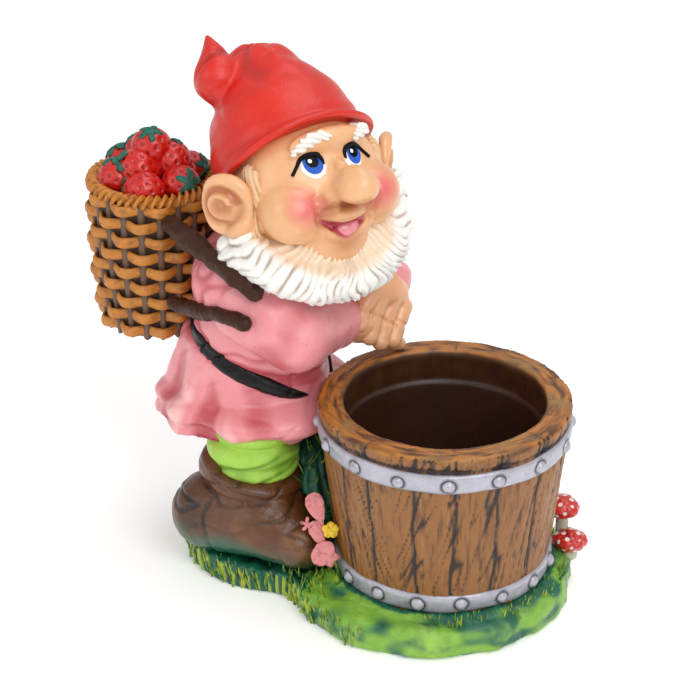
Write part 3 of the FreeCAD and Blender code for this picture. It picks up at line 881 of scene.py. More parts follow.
for side, (shoulder, elbow, wrist) in ARMS.items():
    arm = sleeve(f"{side}_sleeve_cloth", shoulder, elbow, wrist)
    sculpt(arm, sleeve_relief(elbow))
    place_on_object(smooth(arm), cloth_paint, "tunic", f"{side}_sleeve")


def nearest_on(body, place):
    """The point of a body nearest to a place, in mm, and the way it faces there."""
    found, base, facing, face_index = body.closest_point_on_mesh(place * MM)
    return base / MM, facing


def drawn_on(name, body, stops, widths, thickness, steps=60):
    """A brush stroke on a body: a ribbon along the stops, each with its own width in mm."""
    stroke = fresh(bpy.ops.mesh.primitive_grid_add, x_subdivisions=steps, y_subdivisions=8, size=2)
    stroke.name = name
    path = [Vector(stop) for stop in stops]
    runs = len(path) - 1
    for vertex in stroke.data.vertices:
        along = min(0.9999, max(0, (vertex.co.x + 1) / 2)) * runs
        run = int(along)
        share = along - run
        before = path[max(0, run - 1)]
        after = path[min(runs, run + 2)]
        start, end = path[run], path[run + 1]
        # A Catmull-Rom curve through the stops.
        centre = 0.5 * (
            2 * start + (end - before) * share
            + (2 * before - 5 * start + 4 * end - after) * share ** 2
            + (3 * start - before - 3 * end + after) * share ** 3
        )
        heading = (end - before).lerp(after - start, share).normalized()
        base, facing = nearest_on(body, centre)
        width = widths[run] + (widths[run + 1] - widths[run]) * share
        wanted = centre + facing.cross(heading).normalized() * vertex.co.y * width / 2
        base, facing = nearest_on(body, wanted)
        dome = math.sqrt(max(0, 1 - vertex.co.y ** 2)) * min(1, width / 1.2)
        vertex.co = (base + facing * (thickness * dome - 0.25)) * MM
    use_modifier(stroke, "SOLIDIFY", thickness=0.5 * MM, offset=-1)
    return smooth(stroke)


def around_body(body, start, end, count, sag):
    """Stops on a body between two bearings in degrees, on the belt's plane, sagging at the end."""
    stops = []
    for number, bearing in enumerate(steps_between(start, end, count)):
        turn = math.radians(bearing)
        outward = polar(turn, 1)
        level = belt_middle.z + outward.y * WAIST_RADIUS * BELT_SLOPE - sag * (number / count) ** 2
        origin = Vector((0, belt_middle.y, level)) + outward * 120
        found, base, facing, face = body.ray_cast(origin * MM, -outward)
        stops.append(base / MM)
    return stops


belt_paint = painted(
    "gloss_black_enamel_belt", (4, "#040405", "#0f0e10"),
    {"Roughness": 0.34, "Specular IOR Level": 0.3}, (2.2, 0.25))
lengths = []
BELT_WIDTHS = [8, 10, 10, 10, 10, 10, 10, 10, 10, 9.6, 9, 7.5, 5, 1.5]
for side, start, end in (("right", 124, 248), ("left", 56, -68)):
    stops = around_body(tunic, start, end, len(BELT_WIDTHS) - 1, 7)
    lengths.append(drawn_on(f"{side}_belt", tunic, stops, BELT_WIDTHS, 2.0, 140))
place_on_object(smooth(joined("belt_strip", lengths)), belt_paint, "belt", "belt")

strap_paint = painted("dark_brown_gloss_acrylic_straps", [
    (5, "#2a1206", "#45230f"),
    # Paler brown on the raised lumps: painted highlight.
    ("relief", 0.5, 1.4, "#4a2c17"),
], {"Roughness": 0.38, "Specular IOR Level": 0.25}, (1.5, 0.5))


def strap_relief(point, normal):
    return 1.3 * noise.noise(point * 0.14) + 0.5 * noise.noise(point * 0.4)


for side, sign in SIDES.items():
    upper = [(30, 103, 196), (37, 88, 193), (42, 73, 189), (46, 58, 184), (47, 45, 177)]
    lower = [(34, 100, 153), (42, 81, 156), (51, 63, 162), (54, 48, 162)]
    for level, stops, thick in (("upper", upper, 5.4), ("lower", lower, 4.1)):
        places = [
            ((sign * x, y, z), thick * (0.92 + 0.16 * (number % 2)))
            for number, (x, y, z) in enumerate(stops)
        ]
        strap = fused(f"{side}_{level}_strap_leather", limb(places, 2.2), 0.8, 4)
        sculpt(strap, strap_relief)
        place_on_object(smooth(strap), strap_paint, "strap", f"{side}_{level}_strap")


# ---- Trouser legs and boots -------------------------------------------------
# Short wide legs in lime green, with painted shade in their creases, end in a ragged
# hem over soft brown boots with painted highlight on their raised parts and painted
# shade in their creases; the brown is brushed out into turf green at the sole.

leg_paint = painted("lime_green_acrylic_on_cloth", [
    (12, "#8fc23a", "#b4dc5c"),
    # Darker green in the creases: painted shade.
    ("relief", 0.0, -1.1, "#5f8f22"),
    ((9,), 0.62, 0.85, "#9c9a2e"),
], {"Roughness": 0.42}, (1.4, 0.4, (1, 1, 2)))


def leg_relief(point, normal):
    slack = noise.noise(Vector((point.x * 0.03, point.y * 0.03, point.z * 0.09)))
    return 1.2 * slack - 0.9 * bump_line(slack, 0.12) + 0.5 * noise.noise(point * 0.12)


for side in SIDES:
    corner, opposite = box_of(f"{side}_trouser_leg")
    middle = (corner + opposite) / 2
    wide = (opposite.x - corner.x) / 2
    parts = [
        ball((middle.x, middle.y, 66), (wide - 1.5, wide - 1, 9)),
        ball((middle.x, middle.y, 75), (wide, wide + 0.5, 11)),
        ball((middle.x, middle.y, 87), (wide - 3, wide - 2, 10)),
    ]
    leg = fused(f"{side}_leg_cloth", parts, 1.0, 4)
    sculpt(leg, leg_relief)
    place_on_object(smooth(leg), leg_paint, "trousers", f"{side}_trouser_leg")

boot_paint = painted("brown_gloss_acrylic_boots", [
    (12, "#4b2810", "#6c401d"),
    # Paler brown on raised parts is painted highlight; near black in the creases is painted shade.
    ("relief", 0.3, 1.6, "#8a5c34"),
    ("relief", -0.3, -1.3, "#1f1008"),
    ("sole", (5, "#0c4636", "#1b6a4c")),
], {"Roughness": 0.32, "Coat Weight": 0.15, "Coat Roughness": 0.2}, (1.8, 0.4))


def boot_relief(ankle):
    def relief(point, normal):
        crease = noise.noise(Vector((point.x * 0.03, point.y * 0.04, point.z * 0.12)))
        seam = bump_line(point.y - ankle.y - 16 - 1.5 * math.sin(point.z * 0.2), 1.2)
        seam *= 1 if point.z < 50 else 0
        near_ankle = bump_line(point.z - 50, 16)
        creased = 1.1 * near_ankle * bump_line(crease, 0.07)
        return 1.3 * noise.noise(point * 0.04) - creased - 0.9 * seam + 0.3 * noise.noise(point * 0.2)
    return relief


for side, sign in SIDES.items():
    corner, opposite = box_of(f"{side}_boot")
    leg_corner, leg_opposite = box_of(f"{side}_trouser_leg")
    ankle = (leg_corner + leg_opposite) / 2
    toe = Vector((sign * 36, corner.y + 17, corner.z + 15))
    heel = Vector((sign * 32, opposite.y - 21, corner.z + 18))
    parts = limb([(toe, 16), ((sign * 34, 48, 36), 21.5), (heel, 21.5)], 4)
    parts += [ball((ankle.x, ankle.y, height), (25, 27, 8)) for height in (40, 48, 56)]
    slant = Euler((math.radians(14), 0, 0)).to_matrix()
    parts += [ball((ankle.x, ankle.y + 1, 62), (27.5, 29, 6), slant)]
    parts += [ball((ankle.x, ankle.y + 12, 62), (23, 19, 12))]
    parts += [ball((toe.x, toe.y - 1, toe.z + 1), (17.5, 15.5, 15.5))]
    boot = fused(f"{side}_boot_leather", parts, 1.2, 6)
    sculpt(boot, boot_relief(ankle))
    sole_top = corner.z + 20
    paint(boot, "sole", lambda point, normal: clamp(
        (sole_top - point.z + 8 * noise.noise(point * 0.06)) / 16))
    place_on_object(smooth(boot), boot_paint, "boot", f"{side}_boot")


# ---- Head and nose ----------------------------------------------------------
# A round head turned over its right shoulder and tipped up: full cheeks, a big
# egg of a nose and an open smile, cast in resin and painted in warm flesh tones.

HEAD_TURN = Euler((math.radians(-14), 0, math.radians(-31))).to_matrix()
EYE_X, EYE_Z = 12.2, 16.5

ear_corners = [corner for side in SIDES for corner in box_of(f"{side}_ear")]
head_middle = sum(ear_corners, Vector()) / 4 - HEAD_TURN @ Vector((0, -5, -4))


def on_head(x, y, z):
    """A place in mm given from the middle of the head: y is towards its back, x towards its left ear."""
    return head_middle + HEAD_TURN @ Vector((x, y, z))


def from_head(point):
    return HEAD_TURN.transposed() @ (point - head_middle)


def head_ball(centre, radii, turn=None, detail=5):
    """A ball on the head, in the head's own directions."""
    return ball(on_head(*centre), radii, HEAD_TURN @ turn if turn else HEAD_TURN, detail)


def on_skin(x, z):
    """Where a line drawn back from before the face meets the skin, in mm, and the way it faces."""
    backwards = HEAD_TURN @ Vector((0, 1, 0))
    found, base, facing, face_index = face.ray_cast(on_head(x, -60, z) * MM, backwards)
    return base / MM, facing


def mouth_edges(x):
    """Heights of the upper and lower edge of the open mouth, whose corners turn up."""
    share = min(1, abs(x + 1) / 15)
    return -12.8 + 3.8 * share ** 2, -22.0 + 13.0 * share ** 1.7


def mouth_depth(place):
    upper, lower = mouth_edges(place.x)
    inside = min(upper - place.z, place.z - lower)
    if place.y > -20 or abs(place.x + 1) > 17:
        return -10
    return inside


face = fused("head_skin", [
    head_ball((0, 0, 0), (40, 39, 41)),
    head_ball((-21, -23, -5), (18, 17.5, 17)),
    head_ball((21, -23, -5), (18, 17.5, 17)),
    head_ball((0, -24, -13), (22, 17, 15)),
    head_ball((-1, -21, -25), (20, 15.5, 14)),
    head_ball((0, -36, -9), (13.5, 8, 4.2)),
    head_ball((0, -38, 10), (5.5, 8, 10), Euler((math.radians(-30), 0, 0)).to_matrix()),
    head_ball((0, -43, 6.5), (8.5, 10, 8.5)),
    head_ball((0, -51, 7), (11.5, 13, 10.8)),
    head_ball((-7.5, -39, 1), (6.5, 6.5, 6)),
    head_ball((7.5, -39, 1), (6.5, 6.5, 6)),
    head_ball((0, -27, 27), (22, 7, 7)),
], 0.95, 14)


def face_relief(point, normal):
    place = from_head(point)
    side = abs(place.x)
    depth = 0.0
    if place.y < -12:
        socket = math.hypot(side - EYE_X, (place.z - EYE_Z) * 1.15)
        depth -= 2.2 * bump_line(socket, 11)
        crease = Vector((side - 15, 0, place.z + 5))
        fold = abs(math.hypot(crease.x * 1.1 + 9, crease.z * 0.8 - 3) - 12)
        depth -= 1.5 * bump_line(fold, 2.6) * (1 if 6 < side < 21 and -14 < place.z < 4 else 0)
        corner = math.hypot(side - 15.5, place.z + 8.5)
        depth -= 2.0 * bump_line(corner, 4.5)
        depth -= 1.2 * bump_line(math.hypot(place.x + 1, (place.z + 25) * 1.6), 8)
        below = bump_line(place.z + 12.8 + 12.0 * (1 - min(1, side / 15) ** 1.7), 3.0)
        depth += 1.1 * below * (1 if side < 13 else 0)
        depth -= 1.0 * bump_line(place.z + 3.2 - 0.15 * side, 1.8) * (1 if side < 11 else 0)
    return depth + 0.25 * noise.noise(point * 0.11)


sculpt(face, face_relief)
paint(face, "mouth", lambda point, normal: clamp(mouth_depth(from_head(point)) / 0.9 + 0.5))
sculpt(face, lambda point, normal: -5.5 * clamp(mouth_depth(from_head(point)) / 3.2 + 0.1))
use_modifier(face, "SMOOTH", factor=0.5, iterations=2)


def blush(point, normal):
    place = from_head(point)
    spot = math.hypot((abs(place.x) - 23) / 12, (place.z + 1.5) / 11.5)
    return max(0, 1 - spot) ** 0.7 if place.y < -10 else 0


def flesh_shade(point, normal):
    """Painted shade in the flesh colour: under and round the nose, in the smile lines and below the
    mouth.
    """
    place = from_head(point)
    side = abs(place.x)
    if place.y > -14:
        return 0
    under_nose = bump_line(place.z + 3.4, 3) * bump_line(side, 13)
    wing = bump_line(math.hypot(side - 15.5, place.z + 2) - 3, 3)
    smile = bump_line(math.hypot(side - 15.5, place.z + 8.5), 6)
    chin = 0.8 * bump_line(math.hypot(place.x + 1, (place.z + 24.5) * 1.5), 9)
    return min(1, under_nose + 0.5 * wing + 0.8 * smile + chin)


paint(face, "blush", blush)
paint(face, "flesh_shade", flesh_shade)
smooth(face)

flesh_paint = painted("warm_flesh_acrylic_on_resin", [
    (16, "#dc9f6b", "#ecb98a"),
    # Darker flesh round the nose, in the smile lines, deep in the ears and under the hands: painted
    # shade.
    ("flesh_shade", "#b87042"),
    ("blush", 0.0, 0.95, "#dc6868"),
    ((2.4,), 0.64, 0.78, "#e2a37c"),
    ("mouth", "#b8454f"),
], {"Roughness": 0.34, "Coat Weight": 0.35, "Coat Roughness": 0.22}, (1.3, 0.12))
place_on_object(face, flesh_paint, "skin", "head", "nose")

tongue = fused("tongue", [
    head_ball((2.5, -32.5, -17.5), (9, 5.5, 4.4)),
    head_ball((1.5, -33.5, -18.8), (6.5, 4.5, 3.2)),
], 0.5, 4)
sculpt(tongue, lambda point, normal: (
    -0.5 * bump_line(from_head(point).x - 2, 1.5) + 0.15 * noise.noise(point * 0.6)))
tongue_paint = painted(
    "glossy_pink_acrylic_tongue", (4, "#e0808c", "#ee9aa2"),
    {"Roughness": 0.25, "Coat Weight": 0.5, "Coat Roughness": 0.15}, (0.8, 0.12))
place_on_object(smooth(tongue), tongue_paint, "mouth", "mouth")


# ---- Eyes -------------------------------------------------------------------
# Shallow almond lenses painted white, with a blue iris, a black pupil, a white
# glint and a thick black upper lash that flicks out at the outer corner.

IRIS_RADIUS = 4.7
PUPIL_RADIUS = 3.0
GLINT_RADIUS = 0.95
EYE_RINGS = 26
EYE_FRONT = -35.5
LASH_WIDTHS = [2.0, 2.0, 2.6, 3.6, 3.4, 2.3, 0.8]


def eye_layers(sign):
    """Signed distances in mm from the edges of the iris, pupil and glint, positive inside."""
    centre = Vector((sign * EYE_X + 0.6, 0, EYE_Z + 1.6))

    def iris(point, normal):
        place = from_head(point)
        return IRIS_RADIUS - math.hypot(place.x - centre.x, (place.z - centre.z) * 0.92)

    def pupil(point, normal):
        place = from_head(point)
        return PUPIL_RADIUS - math.hypot(place.x - centre.x + 0.2, place.z - centre.z - 1.2)

    def glint(point, normal):
        place = from_head(point)
        return GLINT_RADIUS - math.hypot(place.x - centre.x + 1.2, place.z - centre.z - 1.5)

    return {"iris": iris, "pupil": pupil, "glint": glint}


eye_paint = painted("gloss_enamel_painted_eye", [
    (3, "#eceae6", "#fbfaf7"),
    ("iris", -0.12, 0.12, (1.6, "#1f46a8", "#3c6fd2", (1, 1, 3))),
    ("pupil", -0.12, 0.12, "#020203"),
    ("glint", -0.1, 0.1, "#ffffff"),
], {"Roughness": 0.35, "Specular IOR Level": 0.08})

lash_paint = painted(
    "black_enamel_brushed_lash", (2, "#020202", "#0b0a0a"),
    {"Roughness": 0.4, "Specular IOR Level": 0.15}, (0.7, 0.1))

for side, sign in SIDES.items():
    eye = fresh(bpy.ops.mesh.primitive_circle_add, vertices=96, radius=1, fill_type="NGON")
    bpy.ops.object.mode_set(mode="EDIT")
    bpy.ops.mesh.select_all(action="SELECT")
    for ring in range(EYE_RINGS):
        bpy.ops.mesh.inset(thickness=0.036, depth=0)
    bpy.ops.object.mode_set(mode="OBJECT")
    eye.name = f"{side}_eye_white"
    for vertex in eye.data.vertices:
        across, up = vertex.co.x, vertex.co.y
        narrow = 1 - 0.22 * across ** 2
        reach = min(1, math.hypot(across, up))
        height = EYE_Z + up * 6.0 * narrow + 0.2 * across * sign
        base, facing = on_skin(sign * (EYE_X - 0.5) + across * 6.2, height)
        flat = from_head(base)
        flat.y = max(flat.y, EYE_FRONT)
        vertex.co = (on_head(*flat) + facing * (1.4 * math.sqrt(max(0, 1 - reach ** 2)) - 0.3)) * MM
    use_modifier(eye, "SMOOTH", factor=0.5, iterations=3)
    use_modifier(eye, "SOLIDIFY", thickness=0.8 * MM, offset=-1)
    for layer, rule in eye_layers(sign).items():
        paint(eye, layer, rule)
    place_on_object(smooth(eye), eye_paint, "eye", f"{side}_eye")

    rim = [(-10.4, -2.8), (-7.2, 1.0), (-4.4, 4.4), (-0.4, 6.2), (3.4, 5.6), (5.4, 3.0), (5.8, 0.2)]
    stops = [on_skin(sign * (EYE_X - across), EYE_Z + up)[0] for across, up in rim]
    lash = drawn_on(f"{side}_eyelash", face, stops, LASH_WIDTHS, 1.5)
    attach(lash, "root")
    lash.data.materials.append(lash_paint)


# ---- Ears -------------------------------------------------------------------
# Large round ears with a thick rolled rim, a hollow and a curled inner fold,
# modelled on the head and painted with it, with painted shade darker where it is deepest.

EAR_HALF_DEPTH = 14
EAR_HALF_HEIGHT = 15.5


def ear_relief(sign):
    def relief(point, normal):
        place = from_head(point) - Vector((sign * 47, -3, 2))
        across, up = place.y, place.z
        reach = math.hypot(across / EAR_HALF_DEPTH, up / EAR_HALF_HEIGHT)
        turn = math.atan2(up, across)
        spiral = 0.50 - 0.17 * (turn + math.pi) / (2 * math.pi)
        front = 1 if (HEAD_TURN.transposed() @ normal).y < 0.45 else 0
        return front * (2.4 * bump_line(reach - 0.86, 0.2) - 3.8 * bump_line(reach - 0.56, 0.26)
                        + 2.6 * bump_line(reach - spiral, 0.13) - 2.6 * bump_line(reach - 0.12, 0.22))
    return relief


for side, sign in SIDES.items():
    lean = Euler((0, math.radians(sign * 8), math.radians(sign * -38))).to_matrix()
    ear = fused(f"{side}_ear_skin", [
        head_ball((sign * 47.5, -3, 2), (4.6, EAR_HALF_DEPTH, EAR_HALF_HEIGHT), lean),
        head_ball((sign * 43, -5, -8), (7, 8, 9), lean),
    ], 0.7, 8)
    sculpt(ear, ear_relief(sign))
    use_modifier(ear, "SMOOTH", factor=0.5, iterations=2)
    # Painted shade: the ear's flesh is darker where it is deepest.
    relief_layer = ear.data.attributes["relief"]
    deeps = [clamp(-item.value / 3.2) for item in relief_layer.data]
    shade_layer = ear.data.attributes.new("flesh_shade", "FLOAT", "POINT")
    shade_layer.data.foreach_set("value", deeps)
    place_on_object(smooth(ear), flesh_paint, "skin", f"{side}_ear")


# ---- Beard, hair and eyebrows -----------------------------------------------
# One white mass of wavy strands from ear to ear under the chin, its ends parted
# into locks; cream hair before the ears and down the neck, and two tufted brows.

LOCKS = 30
BROW_TUFTS = 13

beard_path = [
    (-42, 5, -25), (-39, -12, -27), (-31, -22, -37), (-16, -28, -43),
    (0, -30, -45), (16, -28, -43), (31, -21, -37), (42, -11, -28), (46, 2, -18),
]
beard_parts = [head_ball((0, -6, -32), (47, 27, 20)), head_ball((0, 6, -26), (45, 26, 24))]
beard_parts += limb([(on_head(*place), 10.5) for place in beard_path], 5)
for number, bearing in enumerate(steps_between(-79, 92, LOCKS)):
    turn = math.radians(bearing)
    drop = (12 + 3.0 * math.sin(number * 2.4)) * (1 - 0.5 * clamp((-35 - bearing) / 35))
    root = Vector((math.sin(turn) * 42, -27 + 22 * abs(math.sin(turn)) ** 1.6, -8 - math.cos(turn) * 32))
    outward = Vector((math.sin(turn), 0.15, -math.cos(turn))).normalized()
    bend = Vector((math.cos(turn), 0, math.sin(turn))) * (3.4 * math.sin(number * 1.7))
    tip = root + outward * drop + bend
    lock = [(root, 6.2), (root.lerp(tip, 0.6), 4.8), (tip, 2.6)]
    beard_parts += limb([(on_head(*place), radius) for place, radius in lock], 2.5)
beard = fused("beard_strands", beard_parts, 0.9, 3)


def strand_relief(point, normal):
    place = from_head(point)
    bearing = math.atan2(place.x, -(place.z + 6))
    reach = math.hypot(place.x, place.z + 6)
    drift = 0.055 * math.sin(reach * 0.2 + 5 * noise.noise(Vector((bearing * 1.5, 0, 3)))) \
        + 0.06 * noise.noise(point * 0.06)
    broad = math.cos((bearing + drift) * 32 + 2.2 * noise.noise(point * 0.07))
    fine = math.cos((bearing + drift) * 78 + 4 * noise.noise(point * 0.08))
    return 1.15 * (1 - abs(broad) * 2) * -0.75 + 0.38 * fine + 0.3 * noise.noise(point * 0.15)


sculpt(beard, strand_relief)


def beard_root(point, normal):
    """1 where the beard meets the skin, 0 out on the strands."""
    place = from_head(point)
    reach = math.hypot(place.x * 0.88, place.z + 3)
    return clamp((40.5 - reach + 2 * noise.noise(point * 0.1)) / 5)


paint(beard, "root", beard_root)
smooth(beard)

beard_paint = painted("white_acrylic_on_strands", [
    (10, "#ece7e0", "#fbf9f5"),
    # Grey between the strands and tufts is painted shade.
    ("relief", 0.0, -0.9, "#b9ab9c"),
    ("root", 0.1, 1.1, "#f2d9bb"),
], {"Roughness": 0.42}, (1.0, 0.2))
place_on_object(beard, beard_paint, "white_hair", "beard")

hair = fused("neck_hair", [
    head_ball((0, 9, -8), (42.5, 39, 34)),
    head_ball((-35.5, -9, 8), (4.8, 8, 13)),
    head_ball((35.5, -9, 8), (4.8, 8, 13)),
    head_ball((-37, -6, -12), (6, 9, 13)),
    head_ball((37, -6, -12), (6, 9, 13)),
], 1.0, 4)


def hair_relief(point, normal):
    place = from_head(point)
    bearing = math.atan2(place.x, -place.y)
    sweep = bearing * 52 + place.z * 0.24 + 2.6 * noise.noise(point * 0.05)
    strands = 0.8 * (0.5 - abs(math.cos(sweep))) + 0.25 * math.cos(sweep * 2.7)
    return strands + 0.2 * noise.noise(point * 0.2)


sculpt(hair, hair_relief)
hair_paint = painted("cream_acrylic_on_hair", [
    (9, "#e2b384", "#efcfa8"),
    # Darker cream between the strands: painted shade.
    ("relief", 0.0, -0.6, "#c48f5c"),
], {"Roughness": 0.45}, (1.0, 0.2))
place_on_object(smooth(hair), hair_paint, "white_hair", "hair")

for side, stops in (
    ("right", [(-19.5, 25.5), (-14, 29), (-8, 31), (-2, 30.5)]),
    ("left", [(15, 26.5), (19.5, 28.5), (24, 27), (28, 23.5)]),
):
    tufts = []
    for number in range(BROW_TUFTS):
        share = number / (BROW_TUFTS - 1) * 2.999
        start, end = Vector(stops[int(share)]), Vector(stops[int(share) + 1])
        middle = start.lerp(end, share % 1)
        base, facing = on_skin(middle.x, middle.y + 0.5 * math.sin(number * 2.1))
        swell = 1 - 0.45 * abs(2 * number / (BROW_TUFTS - 1) - 1) ** 1.5
        lean = Euler((0, math.radians(-35 + 6 * number), 0)).to_matrix()
        tufts.append(ball(base + facing * 0.4, (4.2 * swell, 2.2, 3.0 * swell), HEAD_TURN @ lean))
    brow = fused(f"{side}_eyebrow_tuft", tufts, 0.45, 8)
    sculpt(brow, lambda point, normal: 0.4 * math.cos(
        point.z * 1.9 + point.x + 3 * noise.noise(point * 0.15)))
    paint(brow, "root", lambda point, normal: 0.12)
    place_on_object(smooth(brow), beard_paint, "white_hair", f"{side}_eyebrow")


# ---- Hat --------------------------------------------------------------------
# A soft pointed hat pulled down at the back: a rolled lip, a crown that leans
# back in loose folds, and a curled tip like an onion. Gloss red acrylic, with painted
# shade in the folds and under the lip and painted highlight in orange streaks.

BRIM_TILT = math.radians(33)
BRIM_RADIUS = 41.8
LIP_RADIUS = 2.5

brim_middle = Vector((0, 7, 16.5))
brim_up = Vector((0, math.sin(BRIM_TILT), math.cos(BRIM_TILT)))
crown = fused("hat_felt", [
    head_ball((0, 9, 14), (42, 42.5, 41)), head_ball((0, 15, 26), (37.5, 38, 37.5)),
    head_ball((0, 20, 34), (32.5, 33.5, 33.5)), head_ball((0, 26, 44), (26, 27, 28)),
    head_ball((-1, 31, 54), (19.5, 19.5, 19.5)),
], 1.1, 10)
take(crown)
bpy.ops.object.mode_set(mode="EDIT")
bpy.ops.mesh.select_all(action="SELECT")
bpy.ops.mesh.bisect(
    plane_co=on_head(*brim_middle) * MM, plane_no=HEAD_TURN @ brim_up, use_fill=True, clear_inner=True)
bpy.ops.object.mode_set(mode="OBJECT")


def brim_line(angle):
    """The rolled lip: a tilted ring, a little higher over the forehead and behind the ears."""
    across = Vector((math.cos(angle), 0, 0)) * BRIM_RADIUS
    along = Vector((0, math.cos(BRIM_TILT), -math.sin(BRIM_TILT))) * math.sin(angle) * (BRIM_RADIUS - 1)
    lift = brim_up * (1.4 * math.cos(2 * angle) * -1 + 0.8 * math.sin(3 * angle + 1))
    return on_head(*(brim_middle + across + along + lift))


lip = [(brim_line(angle), LIP_RADIUS) for angle in steps_between(0, 2 * math.pi, 90)]
knob_stops = [
    ((-8, 30, 48), 14.5), ((-16, 31, 49), 13.5), ((-22, 33, 55), 13.2), ((-23, 33, 62), 11.8),
    ((-23, 34, 68), 8.8), ((-22.5, 37, 74), 5.2), ((-22, 40, 79), 2.4),
]
knob = limb([(on_head(*place), radius) for place, radius in knob_stops], 2)
hat = fused("pointed_hat", [crown, *limb(lip, 1.6), *knob], 1.0, 6)


def hat_relief(point, normal):
    place = from_head(point)
    height = (place - brim_middle).dot(brim_up)
    bearing = math.atan2(place.x, -place.y + 15)
    seam_line = (place.y - 37) + 0.35 * (place.z - 52) + 1.5 * math.sin(place.x * 0.2)
    seam = -1.5 * bump_line(seam_line, 2.2) * clamp((place.z - 56) / 6)
    folds = math.sin(place.z * 0.22 + bearing * 2.4 + 1.6 * noise.noise(place * 0.03))
    high = clamp((height - 18) / 26)
    dent_field = noise.noise(Vector((place.x * 0.022, place.y * 0.022, place.z * 0.05)))
    dents = -1.4 * bump_line(dent_field + 0.05, 0.10)
    under_lip = -1.2 * bump_line(height - 5.5, 3.2)
    return seam + (0.9 * folds + dents) * high + under_lip + 0.5 * noise.noise(place * 0.06)


sculpt(hat, hat_relief)
use_modifier(hat, "SMOOTH", factor=0.5, iterations=3)
felt_paint = painted("red_gloss_acrylic_with_painted_light", [
    (22, "#c01005", "#de2509"),
    # Dark red in the folds, dents and under the lip: painted shade.
    ("relief", -0.9, -3.4, "#7d0d06"),
    # Orange streaks: painted highlight.
    ((2.2, (1, 1, 3)), 0.62, 0.85, "#ec4a2c"),
], {"Roughness": 0.34, "Coat Weight": 0.12, "Coat Roughness": 0.2}, (1.1, 0.35, (1, 1, 4)))
place_on_object(smooth(hat), felt_paint, "hat_red", "hat_cap", "hat_brim", "hat_tip")


# ---- Hands ------------------------------------------------------------------
# Plump hands folded on the rim: the left one lies on top with its four fingers
# hanging over, and the right one's fingertips show a little below it.

fingers = [
    ((22, 14, 151), (15, 15, 145), (10.5, 14.5, 139)),
    ((29, 11, 149), (22, 11.5, 139.5), (16, 11, 130)),
    ((35, 7.5, 143), (28, 8, 134), (22, 7.5, 125)),
    ((42, 4, 138), (35, 4, 131), (29, 3.5, 124)),
]
left_parts = [
    ball((37, 12, 148), (11.5, 10, 10.5)), ball((41, 11, 144), (10.5, 10, 10.5)),
    ball((47, 15, 142), (10, 9, 9)), ball((32, 14, 150), (10.5, 9, 9)),
]
for knuckle, joint, tip in fingers:
    root = Vector(knuckle).lerp(Vector((39, 12, 148)), 0.45)
    left_parts += limb([(root, 5.8), (knuckle, 5.4), (joint, 5.1), (tip, 4.6)], 1.6)
left_hand = fused("left_hand_skin", left_parts, 0.6, 3)
right_parts = limb([((6, 25, 141), 10), ((18, 19, 136), 11), ((28, 15, 131), 9.5), ((33, 14, 128), 7)], 3)
for number in range(4):
    knuckle = Vector((24 + 3.4 * number, 12 - 1.6 * number, 126 - 1.2 * number))
    root, tip = knuckle + Vector((-8, 5, 5)), knuckle + Vector((4, -3, -5))
    right_parts += limb([(root, 5), (knuckle, 4.4), (tip, 3.8)], 1.6)
right_hand = fused("right_hand_skin", right_parts, 0.7, 3)


def hand_relief(point, normal):
    crease = 0.0
    for knuckle, joint, tip in fingers:
        away = point - Vector(joint)
        if away.length < 7:
            crease -= 0.5 * bump_line(away.dot((Vector(knuckle) - Vector(joint)).normalized()), 1.1)
    return crease + 0.2 * noise.noise(point * 0.25)


sculpt(left_hand, hand_relief)
sculpt(right_hand, lambda point, normal: 0.3 * noise.noise(point * 0.2))
for side, hand in (("left", left_hand), ("right", right_hand)):
    paint(hand, "blush", lambda point, normal: 0.1)
    # Painted shade: the flesh is darker on the undersides of the hands.
    paint(hand, "flesh_shade", lambda point, normal: 0.25 * max(0, -normal.z))
    place_on_object(smooth(hand), flesh_paint, "skin", f"{side}_hand")


# ---- Turf, mound and grass --------------------------------------------------
# A thick plinth of turf, cut with upright blades round the edge and drawn up in
# broad lobes round the barrel; teal green with brighter green lobes, painted highlight
# in yellow on the blade crests and lime on the highest lumps, and painted shade in the lows.

EDGE_BLADES = 420
BARREL_BLADES = 150
MOUND_BLADES = 230
TURF_LIP = 6

turf_low, turf_high = box_of("turf_base")
tub_foot = tub_axis / MM

lower_hoop_base = box_of("lower_hoop")[0].z
lip_height = lower_hoop_base - 5.5
lip_reach = tub_radius(lip_height) + 3
turf_lip = [
    (tub_foot + polar(angle, lip_reach, lip_height), TURF_LIP)
    for angle in steps_between(0, 2 * math.pi, 60)
]
turf = fused("turf_plinth", [cad_copy("turf_base"), *limb(turf_lip, 5)], 1.4, 6)


def edge_blades(point, normal):
    """1 on the crest of each upright blade cut round the plinth's edge, 0 between them."""
    angle = math.atan2(point.y - 30, point.x)
    wander = 2.4 * noise.noise(point * 0.05) + 0.05 * point.z
    crest = 1 - abs(math.sin(angle * 34 + wander))
    return max(0, min(1, crest * 1.5)) * clamp((1 - abs(normal.z)) * 2.2 - 0.2)


def turf_relief(point, normal):
    if point.z < turf_low.z + 1.2:
        return 0
    angle = math.atan2(point.y - tub_foot.y, point.x - tub_foot.x)
    reach = math.hypot(point.x - tub_foot.x, point.y - tub_foot.y)
    upright = 1 - abs(normal.z)
    behind = clamp((point.y + 4) / 14)
    lobes = 0.0
    if reach < 92 and point.y < 14:
        wave = abs(math.sin(angle * 5.5 + 1.1 + 1.2 * noise.noise(point * 0.02)))
        lobes = 2.8 * wave * upright + 2.4 * bump_line(reach - 68, 9) * (1 - upright) * wave
    clumps = 1.3 * noise.noise(point * 0.10) + 0.6 * noise.noise(point * 0.33)
    return 2.2 * (edge_blades(point, normal) - 0.4) * behind + lobes + clumps


